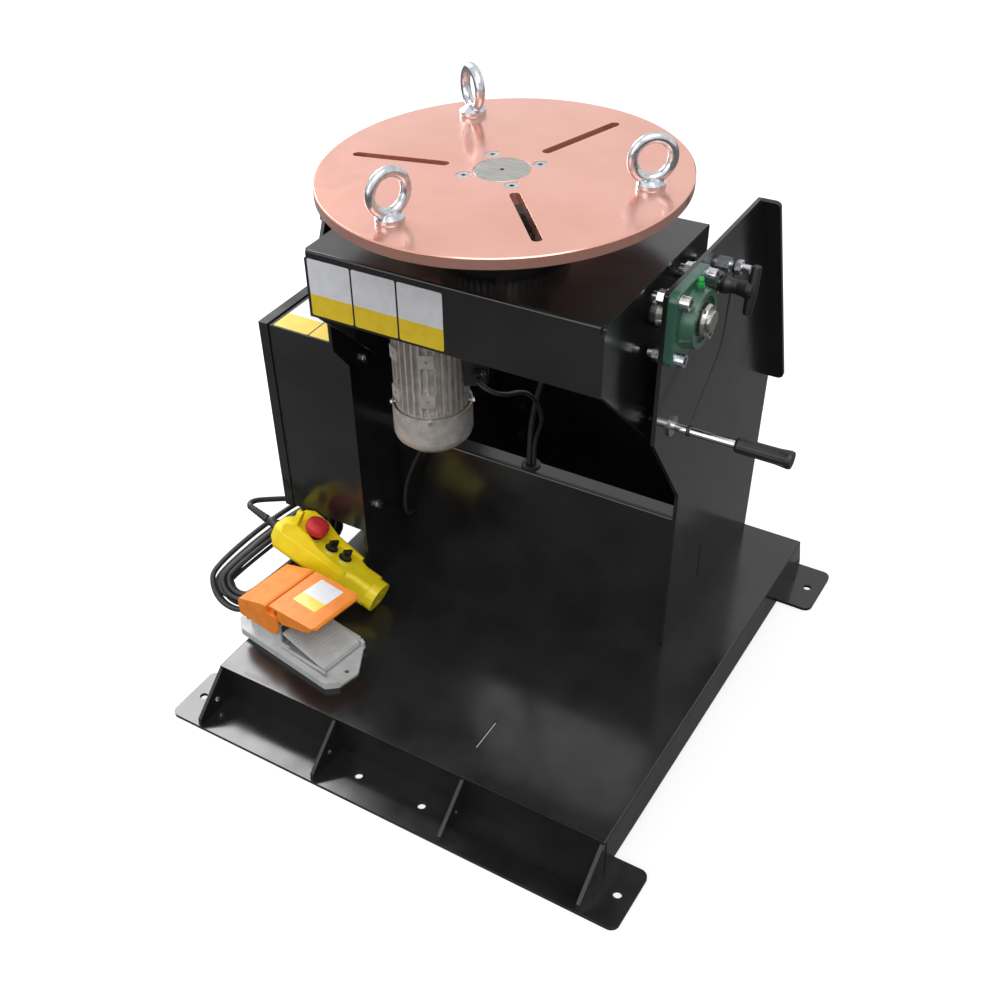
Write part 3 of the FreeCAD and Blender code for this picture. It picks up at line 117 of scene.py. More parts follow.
class Finish:
    """A material that starts as one plain surface and gets its detail step by step."""

    def __init__(self, name, colour, roughness, metallic=0.0, **sockets):
        self.material = bpy.data.materials.new(name)
        self.material.use_nodes = True
        self.tree = self.material.node_tree
        self.shader = self.tree.nodes["Principled BSDF"]
        self.shader.inputs["Base Color"].default_value = linear(colour)
        self.shader.inputs["Roughness"].default_value = roughness
        self.shader.inputs["Metallic"].default_value = metallic
        for key, value in sockets.items():
            self.shader.inputs[key.replace("_", " ")].default_value = value
        self.where = add(self.tree, "ShaderNodeTexCoord").outputs["Object"]

    def stretched(self, x=1.0, y=1.0, z=1.0):
        """Object coordinates, drawn out along the axes whose scale is under 1."""
        return add(self.tree, "ShaderNodeMapping", {"Vector": self.where, "Scale": (x, y, z)}).outputs[0]

    def noise(self, size_mm, where=None, detail=2.0):
        """Soft noise whose patches are about size_mm across."""
        noise = add(self.tree, "ShaderNodeTexNoise",
                    {"Vector": where or self.where, "Scale": 1000.0 / size_mm, "Detail": detail})
        return noise.outputs["Fac"]

    def tinted(self, other, pattern, low=0.35, high=0.65):
        """The colour drifts to another one where the pattern is high."""
        base = tuple(self.shader.inputs["Base Color"].default_value)
        share = add(self.tree, "ShaderNodeMapRange",
                    {"Value": pattern, "From Min": low, "From Max": high}).outputs[0]
        mix = add(self.tree, "ShaderNodeMix", {"Factor": share}, data_type="RGBA")
        mix.inputs["A"].default_value, mix.inputs["B"].default_value = base, linear(other)
        self.tree.links.new([s for s in mix.outputs if s.type == "RGBA"][0], self.shader.inputs["Base Color"])
        return self

    def glossed(self, least, most, pattern):
        """Roughness wanders between two values, as handling and dust leave it."""
        rough = add(self.tree, "ShaderNodeMapRange", {"Value": pattern, "From Min": 0.3, "From Max": 0.7,
                                                      "To Min": least, "To Max": most}).outputs[0]
        self.tree.links.new(rough, self.shader.inputs["Roughness"])
        return self

    def eased(self, radius_mm):
        """Sharp edges catch the light, as a coat or a file leaves them slightly round."""
        edge = add(self.tree, "ShaderNodeBevel", {"Radius": radius_mm * MM}, samples=4)
        self.tree.links.new(edge.outputs[0], self.shader.inputs["Normal"])
        return self

    def raised(self, height_mm, pattern):
        """A bump of that height follows the pattern, on top of any bump so far."""
        bump = add(self.tree, "ShaderNodeBump", {"Height": pattern, "Distance": height_mm * MM})
        before = self.shader.inputs["Normal"].links
        if before:
            self.tree.links.new(before[0].from_socket, bump.inputs["Normal"])
        self.tree.links.new(bump.outputs[0], self.shader.inputs["Normal"])
        return self


print("the middle grey #808080 in linear light:", [round(c, 3) for c in linear("#808080")])

# %% [markdown]
# ## Powder-coated steel
# The sheet parts are black polyester powder, baked on. It flows out to a semi-gloss skin with a very fine
# orange peel, about 2 mm from crest to crest and a few microns deep. The gloss wanders a little where
# hands and cloths have been. The peel is drawn slightly coarser than the real one, so that reflections
# waver as they do on the real sheet. Powder builds up a round of under a millimetre on every cut edge. A
# Bevel node in the material gives that round to the light without touching the sheets themselves.

# %% Black powder coat
EDGE_ROUND_MM = 0.8
powder_coat = Finish("black_powder_coated_sheet_steel", "#171718", 0.2, IOR=1.55)
powder_coat.eased(EDGE_ROUND_MM).tinted("#212122", powder_coat.noise(90))
powder_coat.glossed(0.13, 0.24, powder_coat.noise(60, detail=4.0))
powder_coat.raised(0.006, powder_coat.noise(2.6, detail=1.0))

# %% [markdown]
# ## Copper-coloured table face
# The table is a thick turned plate with a satin copper coat. Such a coat is mostly metal flake in clear
# lacquer, so it is nearly metallic, mirrors what stands on it softly, and glows pink where pale walls
# reflect. Fine turning rings about the table's axis show only as a faint grain.

# %% Copper table coat
copper_coat = Finish("satin_copper_flake_lacquer", "#E8AD9D", 0.24, 0.8,
                     Coat_Weight=0.35, Coat_Roughness=0.08)
copper_coat.eased(EDGE_ROUND_MM).tinted("#E1A391", copper_coat.noise(120, detail=3.0))
copper_coat.glossed(0.19, 0.27, copper_coat.noise(35, detail=5.0))
copper_coat.raised(0.004, copper_coat.noise(0.9, detail=1.0))

# %% [markdown]
# ## Plated, turned and polished metals
# Zinc plate on screws and eye bolts is bright and slightly blue, with a faint bloom from handling. Turned
# steel keeps the tool's fine rings, so its gloss is drawn out along one way. The locking rod is ground
# and chromed, nearly a mirror. A metal keeps the default IOR, because its base colour already says how it
# reflects.

# %% Metals
zinc = Finish("bright_zinc_plated_steel", "#CFD3D7", 0.2, 1.0)
zinc.tinted("#B4B8BE", zinc.noise(9, detail=3.0)).glossed(0.14, 0.3, zinc.noise(5, detail=4.0))
zinc.raised(0.02, zinc.noise(3.0))

turned = Finish("fine_turned_steel", "#B9B7B2", 0.28, 1.0)
turned.tinted("#9C9A96", turned.noise(1.4, turned.stretched(0.06, 1.0, 1.0), 3.0))
turned.glossed(0.2, 0.36, turned.noise(1.0, turned.stretched(0.05, 1.0, 1.0), 3.0))

chrome = Finish("ground_hard_chromed_rod", "#DCDDDF", 0.07, 1.0)
chrome.glossed(0.05, 0.11, chrome.noise(1.2, chrome.stretched(1.0, 0.05, 0.05), 2.0))

bezel = Finish("chromed_switch_bezel", "#D6D6D4", 0.16, 1.0)
bezel.glossed(0.12, 0.22, bezel.noise(4))

# %% [markdown]
# ## Castings
# The motor is die-cast aluminium with a blasted skin: pale, granular, a soft gleam. The pillow bearings
# are grey iron under green enamel. The spindle housing is painted iron. All of them carry sand or die
# texture a millimetre or two across, which is real relief, and so it goes into the bump.

# %% Castings
cast_aluminium = Finish("blasted_die_cast_aluminium", "#D6D1CB", 0.42, 0.55)
cast_aluminium.tinted("#BDB7B1", cast_aluminium.noise(16, detail=5.0))
cast_aluminium.glossed(0.36, 0.54, cast_aluminium.noise(6))
cast_aluminium.raised(0.05, cast_aluminium.noise(1.1, detail=3.0))

green_enamel = Finish("green_enamelled_grey_iron", "#3C6A57", 0.32, Coat_Weight=0.3, Coat_Roughness=0.15)
green_enamel.tinted("#2E5545", green_enamel.noise(22, detail=4.0))
green_enamel.raised(0.12, green_enamel.noise(2.4, detail=3.0))

painted_iron = Finish("painted_grey_iron", "#2B2D2F", 0.5)
painted_iron.tinted("#3A3C3E", painted_iron.noise(14, detail=4.0))
painted_iron.raised(0.12, painted_iron.noise(1.8, detail=3.0))

pedal_casting = Finish("grey_painted_zinc_casting", "#C3C6C5", 0.42)
pedal_casting.eased(EDGE_ROUND_MM).tinted("#B4B7B6", pedal_casting.noise(30, detail=5.0))
pedal_casting.glossed(0.34, 0.5, pedal_casting.noise(8))
pedal_casting.raised(0.05, pedal_casting.noise(1.3, detail=2.0))

# %% [markdown]
# ## Plastics and rubber
# The pendant, guard and buttons are moulded and coloured right through. Moulded skin has a fine
# spark-eroded grain of about a third of a millimetre, drawn here at a millimetre so that it shows. Rubber
# leads are matt black with a patchy grey bloom from use.

# %% Plastics and rubber
def moulded(name, colour, shade, roughness=0.4):
    """A plastic coloured right through, with a fine moulded grain."""
    plastic = Finish(name, colour, roughness)
    plastic.tinted(shade, plastic.noise(26, detail=4.0))
    plastic.glossed(roughness - 0.06, roughness + 0.08, plastic.noise(7))
    return plastic.raised(0.02, plastic.noise(1.0, detail=1.0))


yellow = moulded("yellow_moulded_abs", "#FBE823", "#F5DB1A", 0.36)
orange = moulded("orange_moulded_abs", "#F7922E", "#F08420", 0.5)
red = moulded("red_moulded_button", "#D5323A", "#C62A33", 0.42)
black_plastic = moulded("black_glass_filled_nylon", "#121213", "#1C1C1D", 0.42)
grey_plastic = moulded("grey_switchgear_plastic", "#8B8F92", "#7E8285", 0.5)
green_cap = moulded("green_nipple_cap", "#18B64A", "#12A440", 0.35)
rubber = Finish("black_rubber_lead_jacket", "#1A1A1B", 0.5)
rubber.tinted("#2B2B2C", rubber.noise(11, detail=4.0)).glossed(0.4, 0.6, rubber.noise(4))
rubber.raised(0.05, rubber.noise(0.9))
white_vinyl = Finish("white_vinyl_label", "#E9EAEE", 0.34, Coat_Weight=0.2, Coat_Roughness=0.1)
white_vinyl.tinted("#DFE1E6", white_vinyl.noise(20)).raised(0.01, white_vinyl.noise(6))
yellow_vinyl = Finish("yellow_vinyl_label", "#F3D22A", 0.34, Coat_Weight=0.2, Coat_Roughness=0.1)
yellow_vinyl.tinted("#EAC723", yellow_vinyl.noise(20)).raised(0.01, yellow_vinyl.noise(6))

# %% [markdown]
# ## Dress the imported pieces
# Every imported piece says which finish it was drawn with. A dictionary gives each of those its made
# material here, and the shape stays untouched.

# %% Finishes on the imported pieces
finish_for = {
    "black_paint": powder_coat, "copper_paint": copper_coat, "zinc": zinc, "turned_steel": turned,
    "chrome": chrome, "bright_trim": bezel, "green_casting": green_enamel, "cast_iron": painted_iron,
    "aluminium": cast_aluminium, "grey_casting": pedal_casting, "yellow_plastic": yellow,
    "orange_plastic": orange, "red_plastic": red, "black_plastic": black_plastic,
    "grey_plastic": grey_plastic, "green_cap": green_cap, "rubber": rubber,
}
used = set()
for node in nodes.values():
    drawn_with = node.data.materials[0].name.split(".")[0]
    used.add(drawn_with)
    for slot in node.material_slots:
        slot.material = finish_for[drawn_with].material
for slot in nodes["motor_terminal_box"].material_slots:
    slot.material = black_plastic.material  # the pack has it in the motor's aluminium
print("finishes used:", sorted(used))

# %% [markdown]
# ## Leads: the route and the line
# A lead is a fixed length of rubber cable. Its route is a short list of given points, and a NURBS curve
# turns it into one smooth line. Order and end points are set after the points are in, otherwise the
# curve stays straight between them.

# %% Lead helpers
def lead_curve(name, points, radius):
    """A NURBS lead through the route's points, in metres."""
    data = bpy.data.curves.new(name, "CURVE")
    data.dimensions, data.bevel_depth, data.bevel_resolution = "3D", radius, 4
    data.resolution_u = data.render_resolution_u = 6
    data.use_fill_caps = True
    spline = data.splines.new("NURBS")
    spline.points.add(len(points) - 1)
    for point, at in zip(spline.points, points):
        point.co = (*at, 1.0)
    spline.order_u, spline.use_endpoint_u = 3, True
    lead = bpy.data.objects.new(name, data)
    bpy.context.scene.collection.objects.link(lead)
    return lead


def centreline(points):
    """The smooth line itself, as the points that Blender reads from the route's spline."""
    bare = lead_curve("bare_line", points, 0.0)
    bpy.context.view_layer.update()
    mesh = bpy.data.meshes.new_from_object(bare.evaluated_get(bpy.context.evaluated_depsgraph_get()))
    line = [v.co.copy() for v in mesh.vertices]
    data = bare.data
    bpy.data.objects.remove(bare)
    bpy.data.curves.remove(data)
    bpy.data.meshes.remove(mesh)
    return line


def run_length(line):
    return sum((b - a).length for a, b in zip(line, line[1:]))


# %% [markdown]
# ## The coil under the cabinet
# Spare lead is wound in a long loop that hangs beside the deck. Turns lie in a bundle of rows a little
# more than a diameter apart. Each turn keeps its own row and steps to the next one at its own station, so
# that no two turns of one lead share a row at the same station. On the open side, where nothing ties
# them, the rows fan out and each turn is a little larger or smaller.

# %% Coil turns
COIL_FRONT, COIL_BACK = place(-438, -172, 108), place(-398, -12, 138)
COIL_RADIUS = 42 * MM
along = (COIL_BACK - COIL_FRONT).normalized()
down = along.cross(Vector((0.97, -0.243, -0.38))).normalized()
across = down.cross(along)
COIL_RUN = (COIL_BACK - COIL_FRONT).length
STATIONS = 14
LEG_SINE = 0.3  # past this sine of its angle a station is on one of the two round ends
FAN = 0.3  # how much further apart the rows lie on the open side
WOBBLE = 2.2 * MM


def on_coil(l, w, out):
    """A point l along the coil, w across it and out of its plane."""
    return COIL_FRONT + along * l + across * w + down * out


def station(k, spread, depth, turn):
    """Station k of one turn, at that row of the bundle."""
    share = (k % STATIONS) / STATIONS
    half = COIL_RUN / 2
    angle = 2 * math.pi * share
    c, s = math.cos(angle), math.sin(angle)
    reach = COIL_RADIUS + spread
    l = half + (half if s > LEG_SINE else -half if s < -LEG_SINE else half * s / LEG_SINE) + reach * s
    open_side = max(0.0, -c)  # 1 on the left leg, which hangs free
    fan = 1.0 + FAN * open_side
    wobble = WOBBLE * open_side * math.sin(2.3 * turn + 3.1 * share)
    return on_coil(l, (COIL_RADIUS + (spread + wobble) * fan) * c, depth * fan)


def turns_through(rows, way, start, finish):
    """The points of a lead that winds from one station to another, way +1 or -1, one row after the other."""
    points = []
    for k in range(start, finish + 1):
        turn = k // STATIONS
        step = STATIONS - 2 - 2 * turn  # the station at which this turn moves over to the next row
        out, deep = rows[turn + (k % STATIONS > step)]
        points.append(station(way * k, out * MM, deep * MM, turn))
    return points


# each row's place in the bundle, in mm: out from the loop's middle line, and out of its plane
PENDANT_ROWS = [(16.5, -4.8), (5.5, -4.8), (-5.5, -4.8), (-16.5, -4.8), (-11, -14.4), (0, -14.4), (11, -14.4)]
PEDAL_ROWS = [(10, 4.3), (0, 4.3), (-10, 4.3), (-5, 13), (5, 13)]
pendant_turns = turns_through(PENDANT_ROWS, 1, 3, 5 * STATIONS + 5)
pedal_turns = turns_through(PEDAL_ROWS, -1, 1, 3 * STATIONS + 10)
print("the pendant lead has", len(pendant_turns), "points in its turns, the pedal lead", len(pedal_turns))

# %% [markdown]
# ## The two free leads
# The pendant's lead is a 10 mm control cable, the pedal's a 7 mm one. Both come out of the same two-hole
# gland under the cabinet. Each is one curve with one open spline, so that its own line is the cable's
# real length.

# %% Pendant and pedal leads
PENDANT_LEAD, PEDAL_LEAD = 5.0 * MM, 3.5 * MM  # their radii
FROM_GLAND = [(-344, 62, 185), (-344, 62, 171), (-353, 48, 157)]
TO_PENDANT = [(-449, -12, 188), (-470, -38, 196), (-487, -66, 206), (-482, -88, 212), (-463, -89, 206),
              (-441, -88, 196)]
FROM_PEDAL = [(-319, -133, 106), (-318, -112, 104), (-334, -92, 101), (-358, -92, 101)]
TO_GLAND = [(-366, 52, 137), (-341, 60, 150), (-336, 62, 171), (-336, 62, 185)]
pendant_route = [place(*p) for p in FROM_GLAND] + pendant_turns + [place(*p) for p in TO_PENDANT]
pedal_route = [place(*p) for p in FROM_PEDAL] + pedal_turns + [place(*p) for p in TO_GLAND]
pendant_lead = lead_curve("pendant_lead_coiled", pendant_route, PENDANT_LEAD)
pedal_lead = lead_curve("pedal_lead_coiled", pedal_route, PEDAL_LEAD)
for lead, replaced in ((pendant_lead, ("lead_coil", "cabinet_to_coil_lead", "pendant_lead")),
                       (pedal_lead, ("pedal_lead",))):
    lead.data.materials.append(rubber.material)
    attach(lead, "base")
    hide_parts(*replaced)
pendant_line, pedal_line = centreline(pendant_route), centreline(pedal_route)
print("pendant lead %.2f m, pedal lead %.2f m" % (run_length(pendant_line), run_length(pedal_line)))

# %% [markdown]
# ## Bend reliefs
# Where a lead leaves a housing, a moulded sleeve keeps it from kinking. The sleeve follows the lead's
# first centimetres, thick at the housing and thinning to the jacket, with shallow grooves that let it
# bend. A tube is swept along the lead's own smooth line: each ring stands square to it and is carried on
# from the last, so it never twists.

# %% Tubes swept along a line
def swept(name, line, radii, finish, sides=20):
    """A closed tube along a line, with one radius for each of its points."""
    bm = bmesh.new()
    rings, side = [], None
    for k, at in enumerate(line):
        ahead = (line[min(k + 1, len(line) - 1)] - line[max(k - 1, 0)]).normalized()
        side = ahead.orthogonal() if side is None else side - ahead * side.dot(ahead)
        side.normalize()
        other = ahead.cross(side)
        rings.append([bm.verts.new(at + radii[k] * (math.cos(a) * side + math.sin(a) * other))
                      for a in (2 * math.pi * i / sides for i in range(sides))])
    for a, b in zip(rings, rings[1:]):
        for i in range(sides):
            bm.faces.new((a[i], a[(i + 1) % sides], b[(i + 1) % sides], b[i]))
    bm.faces.new(list(reversed(rings[0])))
    bm.faces.new(rings[-1])
    mesh = bpy.data.meshes.new(name)
    bm.to_mesh(mesh)
    bm.free()
    for face in mesh.polygons:
        face.use_smooth = len(face.vertices) == 4
    mesh.materials.append(finish.material)
    tube = bpy.data.objects.new(name, mesh)
    bpy.context.scene.collection.objects.link(tube)
    return tube


def first_part(line, length, steps):
    """Evenly spaced points over the first length of a line."""
    points, walked, want = [line[0].copy()], 0.0, length / steps
    for a, b in zip(line, line[1:]):
        run = (b - a).length
        while walked + run >= want * len(points) and len(points) <= steps:
            points.append(a.lerp(b, (want * len(points) - walked) / run))
        walked += run
        if len(points) > steps:
            break
    return points


GROOVE_DEEP, END_ROUND = 0.7 * MM, 0.3 * MM


def bend_relief(name, line, length, thick, thin, grooves):
    """A grooved sleeve over the start of a lead."""
    steps = grooves * 4 + 8
    points = first_part(line, length, steps)
    radii = []
    for k in range(len(points)):
        share = k / steps
        radius = thick + (thin - thick) * share
        in_groove = k % 4 in (2, 3) and 0.15 < share < 0.9
        radii.append(radius - (GROOVE_DEEP if in_groove else 0.0))
    radii[-1] = thin - END_ROUND
    sleeve = swept(name, points, radii, black_plastic)
    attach(sleeve, "base")
    return sleeve


at_pendant = bend_relief("pendant_bend_relief", list(reversed(pendant_line)), 42 * MM, 7.6 * MM, 5.6 * MM, 6)
at_pedal = bend_relief("pedal_bend_relief", pedal_line, 26 * MM, 5.6 * MM, 4.0 * MM, 4)
at_gland = [
    bend_relief("cabinet_bend_relief_pendant", pendant_line, 22 * MM, 5.9 * MM, 5.3 * MM, 2),
    bend_relief("cabinet_bend_relief_pedal", list(reversed(pedal_line)), 22 * MM, 4.3 * MM, 3.8 * MM, 2),
]

# %% [markdown]
# ## Cables that cross the tilt
# Three cables hang from the cradle, pass the grommet or the slot in the cross panel and climb into the
# cabinet. They have to give when the cradle tilts. Each is a tube on its own smooth line, fixed in the
# frame. Each entry gives the jacket's radius, the height from which it is held by the cradle, and the
# route.

# %% Cradle cables
cable_routes = {
    "table_cable": (4.8, 640, [
        (60, 120, 788), (60, 120, 720), (46, 124, 640), (14, 118, 550), (-8, 106, 450), (-9.6, 99, 378),
        (-9.6, 99, 288), (-9.6, 103, 218), (-50, 110, 160), (-130, 112, 152), (-205, 108, 149),
        (-276, 110, 150), (-300, 110, 154), (-300, 110, 185)]),
    "motor_cable": (3.5, 556, [
        (-26, -30, 578), (-20, -41.5, 578), (14, -33.5, 562), (22, 30, 540), (26, 64, 495),
        (18, 92, 445), (1.2, 99, 404), (-0.8, 99, 360), (-0.8, 101, 296), (-0.8, 125, 228),
        (-44, 140, 170), (-120, 142, 152), (-205, 139, 149), (-276, 140, 150), (-300, 140, 154),
        (-300, 140, 185)]),
    "brake_cable": (3.5, 456, [
        (-73.3, 58.6, 578), (-79.4, 70, 578), (-109.6, 82, 548), (-108, 74, 480), (-150, 62, 420),
        (-196, 52, 340), (-228, 48, 262), (-234, 50, 192), (-234, 76, 178), (-234, 120, 178),
        (-236, 164, 172), (-250, 170, 150), (-276, 170, 150), (-300, 170, 154), (-300, 170, 185)]),
}
for name, (radius_mm, held_above, points) in cable_routes.items():
    line = centreline([place(*p) for p in points])
    tube = swept(name + "_jacket", line, [radius_mm * MM] * len(line), rubber, 16)
    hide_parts(name)
    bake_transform(tube)
    print(name, "%.2f m" % run_length(line), len(tube.data.polygons), "faces")

# %% [markdown]
# ## Blank labels
# Machines of this kind carry vinyl labels, white above and yellow below, beside what can hurt a hand.
# They stay blank here. A label is 0.3 mm thick with round corners. It could be a texture on the sheet,
# but as a thin piece it catches light on its edge and moves with its own body. Each half is one outline,
# drawn with arcs and pulled up into a plate.

# %% Labels
LABEL_THICK, LABEL_CORNER = 0.3 * MM, 3.0 * MM
LABEL_LIFT = 0.05  # mm between the sheet and the label's back, so that the two never share a face


def rounded(width, low, high, low_corner, high_corner, steps=6):
    """A plate's outline as (across, up) pairs, with one radius for the lower and one for the upper corners."""
    outline = []
    for x, y, radius, quarter in ((width, low, low_corner, 3), (width, high, high_corner, 0),
                                  (0, high, high_corner, 1), (0, low, low_corner, 2)):
        if not radius:
            outline.append((x, y))
            continue
        cx = x - radius if x else radius
        cy = y + radius if y == low else y - radius
        for k in range(steps + 1):
            a = math.pi / 2 * (quarter + k / steps)
            outline.append((cx + radius * math.cos(a), cy + radius * math.sin(a)))
    return outline


def label_half(name, finish, body, plates):
    """One piece that holds the same half of every label on a body."""
    bm = bmesh.new()
    for origin, across, up, outline in plates:
        out = across.cross(up)
        low = [bm.verts.new(origin + across * a + up * b + out * LABEL_LIFT * MM) for a, b in outline]
        high = [bm.verts.new(v.co + out * LABEL_THICK) for v in low]
        bm.faces.new(high)
        bm.faces.new(list(reversed(low)))
        for k in range(len(low)):
            m = (k + 1) % len(low)
            bm.faces.new((low[k], low[m], high[m], high[k]))
    mesh = bpy.data.meshes.new(name)
    bm.to_mesh(mesh)
    bm.free()
    mesh.materials.append(finish.material)
    piece = bpy.data.objects.new(name, mesh)
    bpy.context.scene.collection.objects.link(piece)
    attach(piece, body)


def labelled(group, body, places, width, height, band):
    """White and yellow halves for labels whose lower left corners and directions are given."""
    white = rounded(width, band, height, 0.0, LABEL_CORNER)
    lower = rounded(width, 0.0, band, LABEL_CORNER, 0.0)
    label_half(group + "_labels_white", white_vinyl, body, [p + (white,) for p in places])
    label_half(group + "_labels_yellow", yellow_vinyl, body, [p + (lower,) for p in places])
    print(group, len(places), "labels of", round(width / MM), "by", round(height / MM), "mm")


X_WAY, Y_WAY, Z_WAY = Vector((1, 0, 0)), Vector((0, 1, 0)), Vector((0, 0, 1))
labelled("cradle", "cradle", [(place(x, -150, 694), X_WAY, Z_WAY) for x in (-225, -150.5, -76)],
         71.5 * MM, 87 * MM, 33 * MM)
labelled("cabinet", "base", [(place(x, -37, 572), X_WAY, Y_WAY) for x in (-405, -333.5)],
         69 * MM, 97 * MM, 42 * MM)

# %% [markdown]
# ## The foot switch's own frame
# The foot switch stands on the deck turned by nine degrees. Its label and studs are easier to place in
# its own directions: u towards the toe's end, v across, and z up from the deck. The guard's top rises
# slowly along u, and the treadle falls.

# %% Pedal places, guard label
PEDAL_FOOT, PEDAL_TURN = (-272, -217, 82), math.radians(-9)
GUARD_RISE, TREADLE_FALL = 6 / 104, -26 / 96
GUARD_FROM, GUARD_TOP = -22, 105  # u and z, in mm, of the line up which the guard's top rises
TREADLE_FROM, TREADLE_TOP = -8, 45


def pedal_way(u, v, z):
    """A direction of the foot switch in the frame."""
    return Vector((u * math.cos(PEDAL_TURN) - v * math.sin(PEDAL_TURN),
                   u * math.sin(PEDAL_TURN) + v * math.cos(PEDAL_TURN), z))


def on_pedal(u, v, z):
    return place(*PEDAL_FOOT) + pedal_way(u, v, z) * MM


LABEL_TURN = math.radians(-3)
guard_across = pedal_way(math.cos(LABEL_TURN), math.sin(LABEL_TURN),
                         GUARD_RISE * math.cos(LABEL_TURN)).normalized()
guard_out = pedal_way(-GUARD_RISE, 0, 1).normalized()
CORNER_U, CORNER_V = -1, -15
guard_corner = on_pedal(CORNER_U, CORNER_V, GUARD_TOP + GUARD_RISE * (CORNER_U - GUARD_FROM))
labelled("guard", "guard", [(guard_corner, guard_across, guard_out.cross(guard_across))],
         56 * MM, 66 * MM, 24 * MM)

# %% [markdown]
# ## Studs on the treadle
# The casting's treadle has ribs across it, which the pack already holds, and rows of small round studs
# along its border, so that a shoe doesn't slip. A grid of points with a flattened dome on each is what
# Geometry Nodes do best: the pitch and the counts are inputs, and the same tree serves every row.

# %% A tree that sets domes out on a grid
def grid_tree():
    """Domes on a flat grid, with named inputs."""
    tree = bpy.data.node_groups.new("domes_on_a_grid", "GeometryNodeTree")
    tree.interface.new_socket("Geometry", in_out="OUTPUT", socket_type="NodeSocketGeometry")
    for label, kind in (("Columns", "Int"), ("Rows", "Int"), ("Length", "Float"), ("Width", "Float"),
                        ("Dome Radius", "Float"), ("Dome Height", "Float"), ("Finish", "Material")):
        tree.interface.new_socket(label, in_out="INPUT", socket_type="NodeSocket" + kind)
    given = tree.nodes.new("NodeGroupInput").outputs
    grid = add(tree, "GeometryNodeMeshGrid", {"Size X": given["Length"], "Size Y": given["Width"],
                                              "Vertices X": given["Columns"], "Vertices Y": given["Rows"]})
    ball = add(tree, "GeometryNodeMeshUVSphere", {"Segments": 12, "Rings": 6, "Radius": 1.0})
    size = add(tree, "ShaderNodeCombineXYZ",
               {"X": given["Dome Radius"], "Y": given["Dome Radius"], "Z": given["Dome Height"]})
    domes = add(tree, "GeometryNodeInstanceOnPoints",
                {"Points": grid.outputs["Mesh"], "Instance": ball.outputs["Mesh"], "Scale": size.outputs[0]})
    real = add(tree, "GeometryNodeRealizeInstances", {"Geometry": domes.outputs[0]})
    smooth = add(tree, "GeometryNodeSetShadeSmooth", {"Geometry": real.outputs[0]})
    dressed = add(tree, "GeometryNodeSetMaterial",
                  {"Geometry": smooth.outputs[0], "Material": given["Finish"]})
    add(tree, "NodeGroupOutput", {"Geometry": dressed.outputs[0]})
    return tree


def grown(name, tree, values, matrix):
    """The plain mesh that a tree makes from the given inputs, moved to its place."""
    seed = bpy.data.objects.new(name + "_seed", bpy.data.meshes.new(name + "_seed"))
    bpy.context.scene.collection.objects.link(seed)
    modifier = seed.modifiers.new("nodes", "NODES")
    modifier.node_group = tree
    for item in tree.interface.items_tree:
        if item.in_out == "INPUT":
            modifier[item.identifier] = values[item.name]
    bpy.context.view_layer.update()
    mesh = bpy.data.meshes.new_from_object(seed.evaluated_get(bpy.context.evaluated_depsgraph_get()))
    mesh.name = name
    mesh.transform(matrix)
    seed.modifiers.clear()
    bpy.data.objects.remove(seed)
    piece = bpy.data.objects.new(name, mesh)
    bpy.context.scene.collection.objects.link(piece)
    return piece


domes = grid_tree()

# %% [markdown]
# The grid lies in the treadle's slope. Its matrix has the slope's own directions as columns and its
# middle as place.

# %% Treadle studs
slope_u = pedal_way(1, 0, TREADLE_FALL).normalized()
slope_v = pedal_way(0, 1, 0)
slope_out = slope_u.cross(slope_v)
STUDS_U = 40
middle = on_pedal(STUDS_U, 0, TREADLE_TOP + TREADLE_FALL * (STUDS_U - TREADLE_FROM))
lie = Matrix.Translation(middle) @ Matrix((slope_u, slope_v, slope_out)).transposed().to_4x4()
studs = grown("treadle_studs", domes, {
    "Columns": 15, "Rows": 2, "Length": 84 * MM, "Width": 81 * MM, "Dome Radius": 1.8 * MM,
    "Dome Height": 1.5 * MM, "Finish": pedal_casting.material}, lie)
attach(studs, "treadle")
print("treadle studs", len(studs.data.polygons), "faces")

# %% [markdown]
# ## The studio
# A wide soft lamp above lights the machine evenly, and a weaker one low in front fills the faces turned
# to the camera. A tall soft window at the back left gives black paint and copper their long gleams. To
# the camera, to metal and to glass the room is white. The floor is paler to the camera than to anything
# else, and adds a little light of its own there, so that it stays pale far away and still shows the
# machine's shadow.

# %% Room and lamps
ROOM_DIM, FLOOR_GLOW = 0.42, 0.56
FLOOR_HALF, FLOOR_DROP = 30.0, 0.0005


def room_light(tree, dim, shown=1.0):
    """Full strength for what the camera, metal and glass see, dim for what lights the machine."""
    path = add(tree, "ShaderNodeLightPath").outputs
    seen = path["Is Camera Ray"]
    for ray in ("Is Glossy Ray", "Is Transmission Ray"):
        seen = add(tree, "ShaderNodeMath", {0: seen, 1: path[ray]}, operation="MAXIMUM").outputs[0]
    return add(tree, "ShaderNodeMapRange", {"Value": seen, "To Min": dim, "To Max": shown}).outputs[0]


world = bpy.data.worlds.new("white_room")
bpy.context.scene.world = world
world.use_nodes = True
sky = world.node_tree.nodes["Background"]
sky.inputs["Color"].default_value = (1, 1, 1, 1)
world.node_tree.links.new(room_light(world.node_tree, ROOM_DIM), sky.inputs["Strength"])

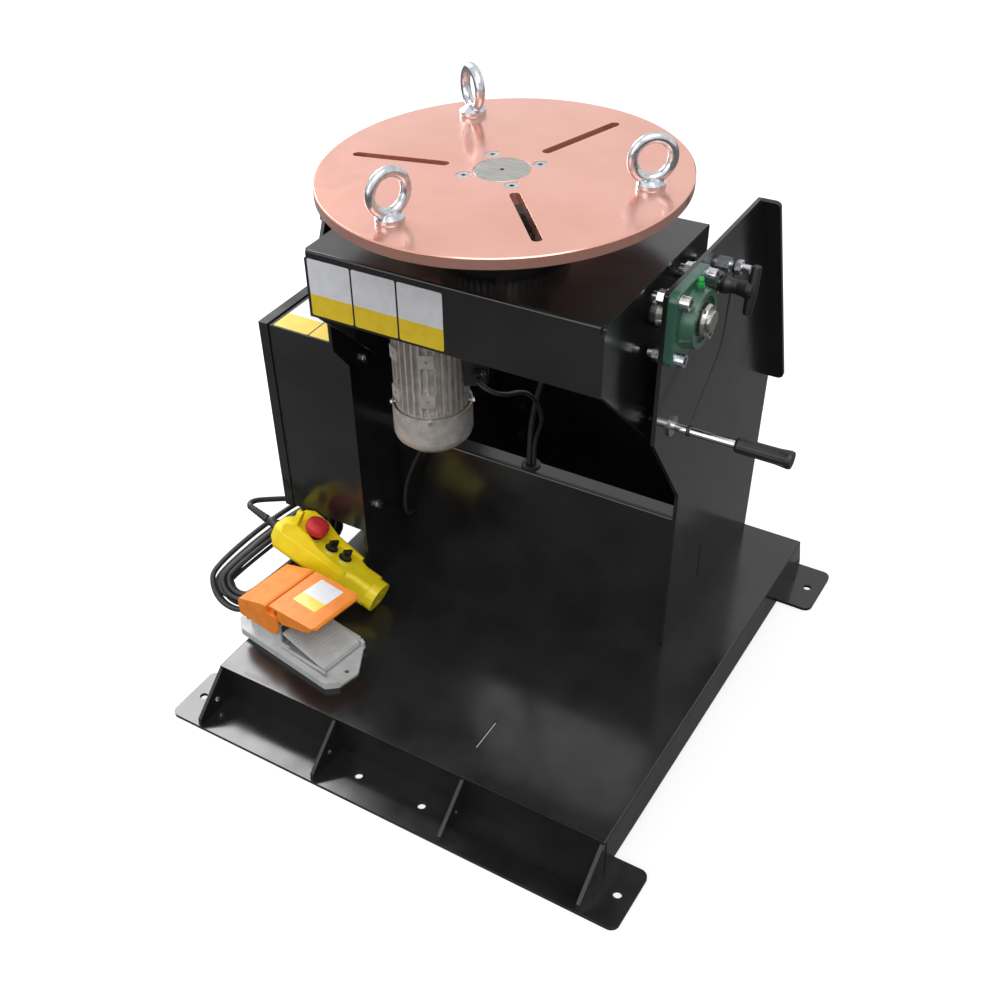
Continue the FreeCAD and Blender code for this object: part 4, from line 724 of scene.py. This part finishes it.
floor_mesh = bpy.data.meshes.new("studio_floor")
corners = [(x * FLOOR_HALF, y * FLOOR_HALF, 0) for x, y in ((-1, -1), (1, -1), (1, 1), (-1, 1))]
floor_mesh.from_pydata(corners, [], [(0, 1, 2, 3)])
floor = bpy.data.objects.new("studio_floor", floor_mesh)
floor.location.z = -FLOOR_DROP
bpy.context.scene.collection.objects.link(floor)
paper = bpy.data.materials.new("pale_floor_paper")
paper.use_nodes = True
tree = paper.node_tree
tree.nodes.clear()
eye = add(tree, "ShaderNodeLightPath").outputs["Is Camera Ray"]
tint = add(tree, "ShaderNodeMix", {"Factor": eye}, data_type="RGBA")
tint.inputs["A"].default_value, tint.inputs["B"].default_value = linear("#7C7C7C"), linear("#C8C8C8")
matt = add(tree, "ShaderNodeBsdfDiffuse", {"Color": [s for s in tint.outputs if s.type == "RGBA"][0]})
glow_strength = add(tree, "ShaderNodeMapRange",
                    {"Value": eye, "To Min": 0.0, "To Max": FLOOR_GLOW}).outputs[0]
glow = add(tree, "ShaderNodeEmission", {"Color": (1, 1, 1, 1), "Strength": glow_strength})
both = add(tree, "ShaderNodeAddShader", {0: matt.outputs[0], 1: glow.outputs[0]})
add(tree, "ShaderNodeOutputMaterial", {"Surface": both.outputs[0]})
floor_mesh.materials.append(paper)


def lamp(name, kind, strength, at, towards, **settings):
    """A lamp that points from one place to another."""
    data = bpy.data.lights.new(name, kind)
    data.energy = strength
    for key, value in settings.items():
        setattr(data, key, value)
    light = bpy.data.objects.new(name, data)
    light.location = at
    light.rotation_euler = (Vector(towards) - Vector(at)).to_track_quat("-Z", "Y").to_euler()
    light.visible_camera = False
    bpy.context.scene.collection.objects.link(light)
    return light


lamp("ceiling_softbox", "SUN", 1.5, (0.9, -1.1, 3.2), (0, 0, 0.6), angle=math.radians(50))
lamp("front_fill", "SUN", 0.6, (-0.5, -1.6, 1.0), (0, 0, 0.4), angle=math.radians(40))
lamp("back_left_window", "AREA", 40.0, (-1.95, 0.9, 1.85), (0, -0.1, 0.5),
     shape="RECTANGLE", size=0.9, size_y=1.5)
bpy.context.scene.view_settings.view_transform = "Standard"
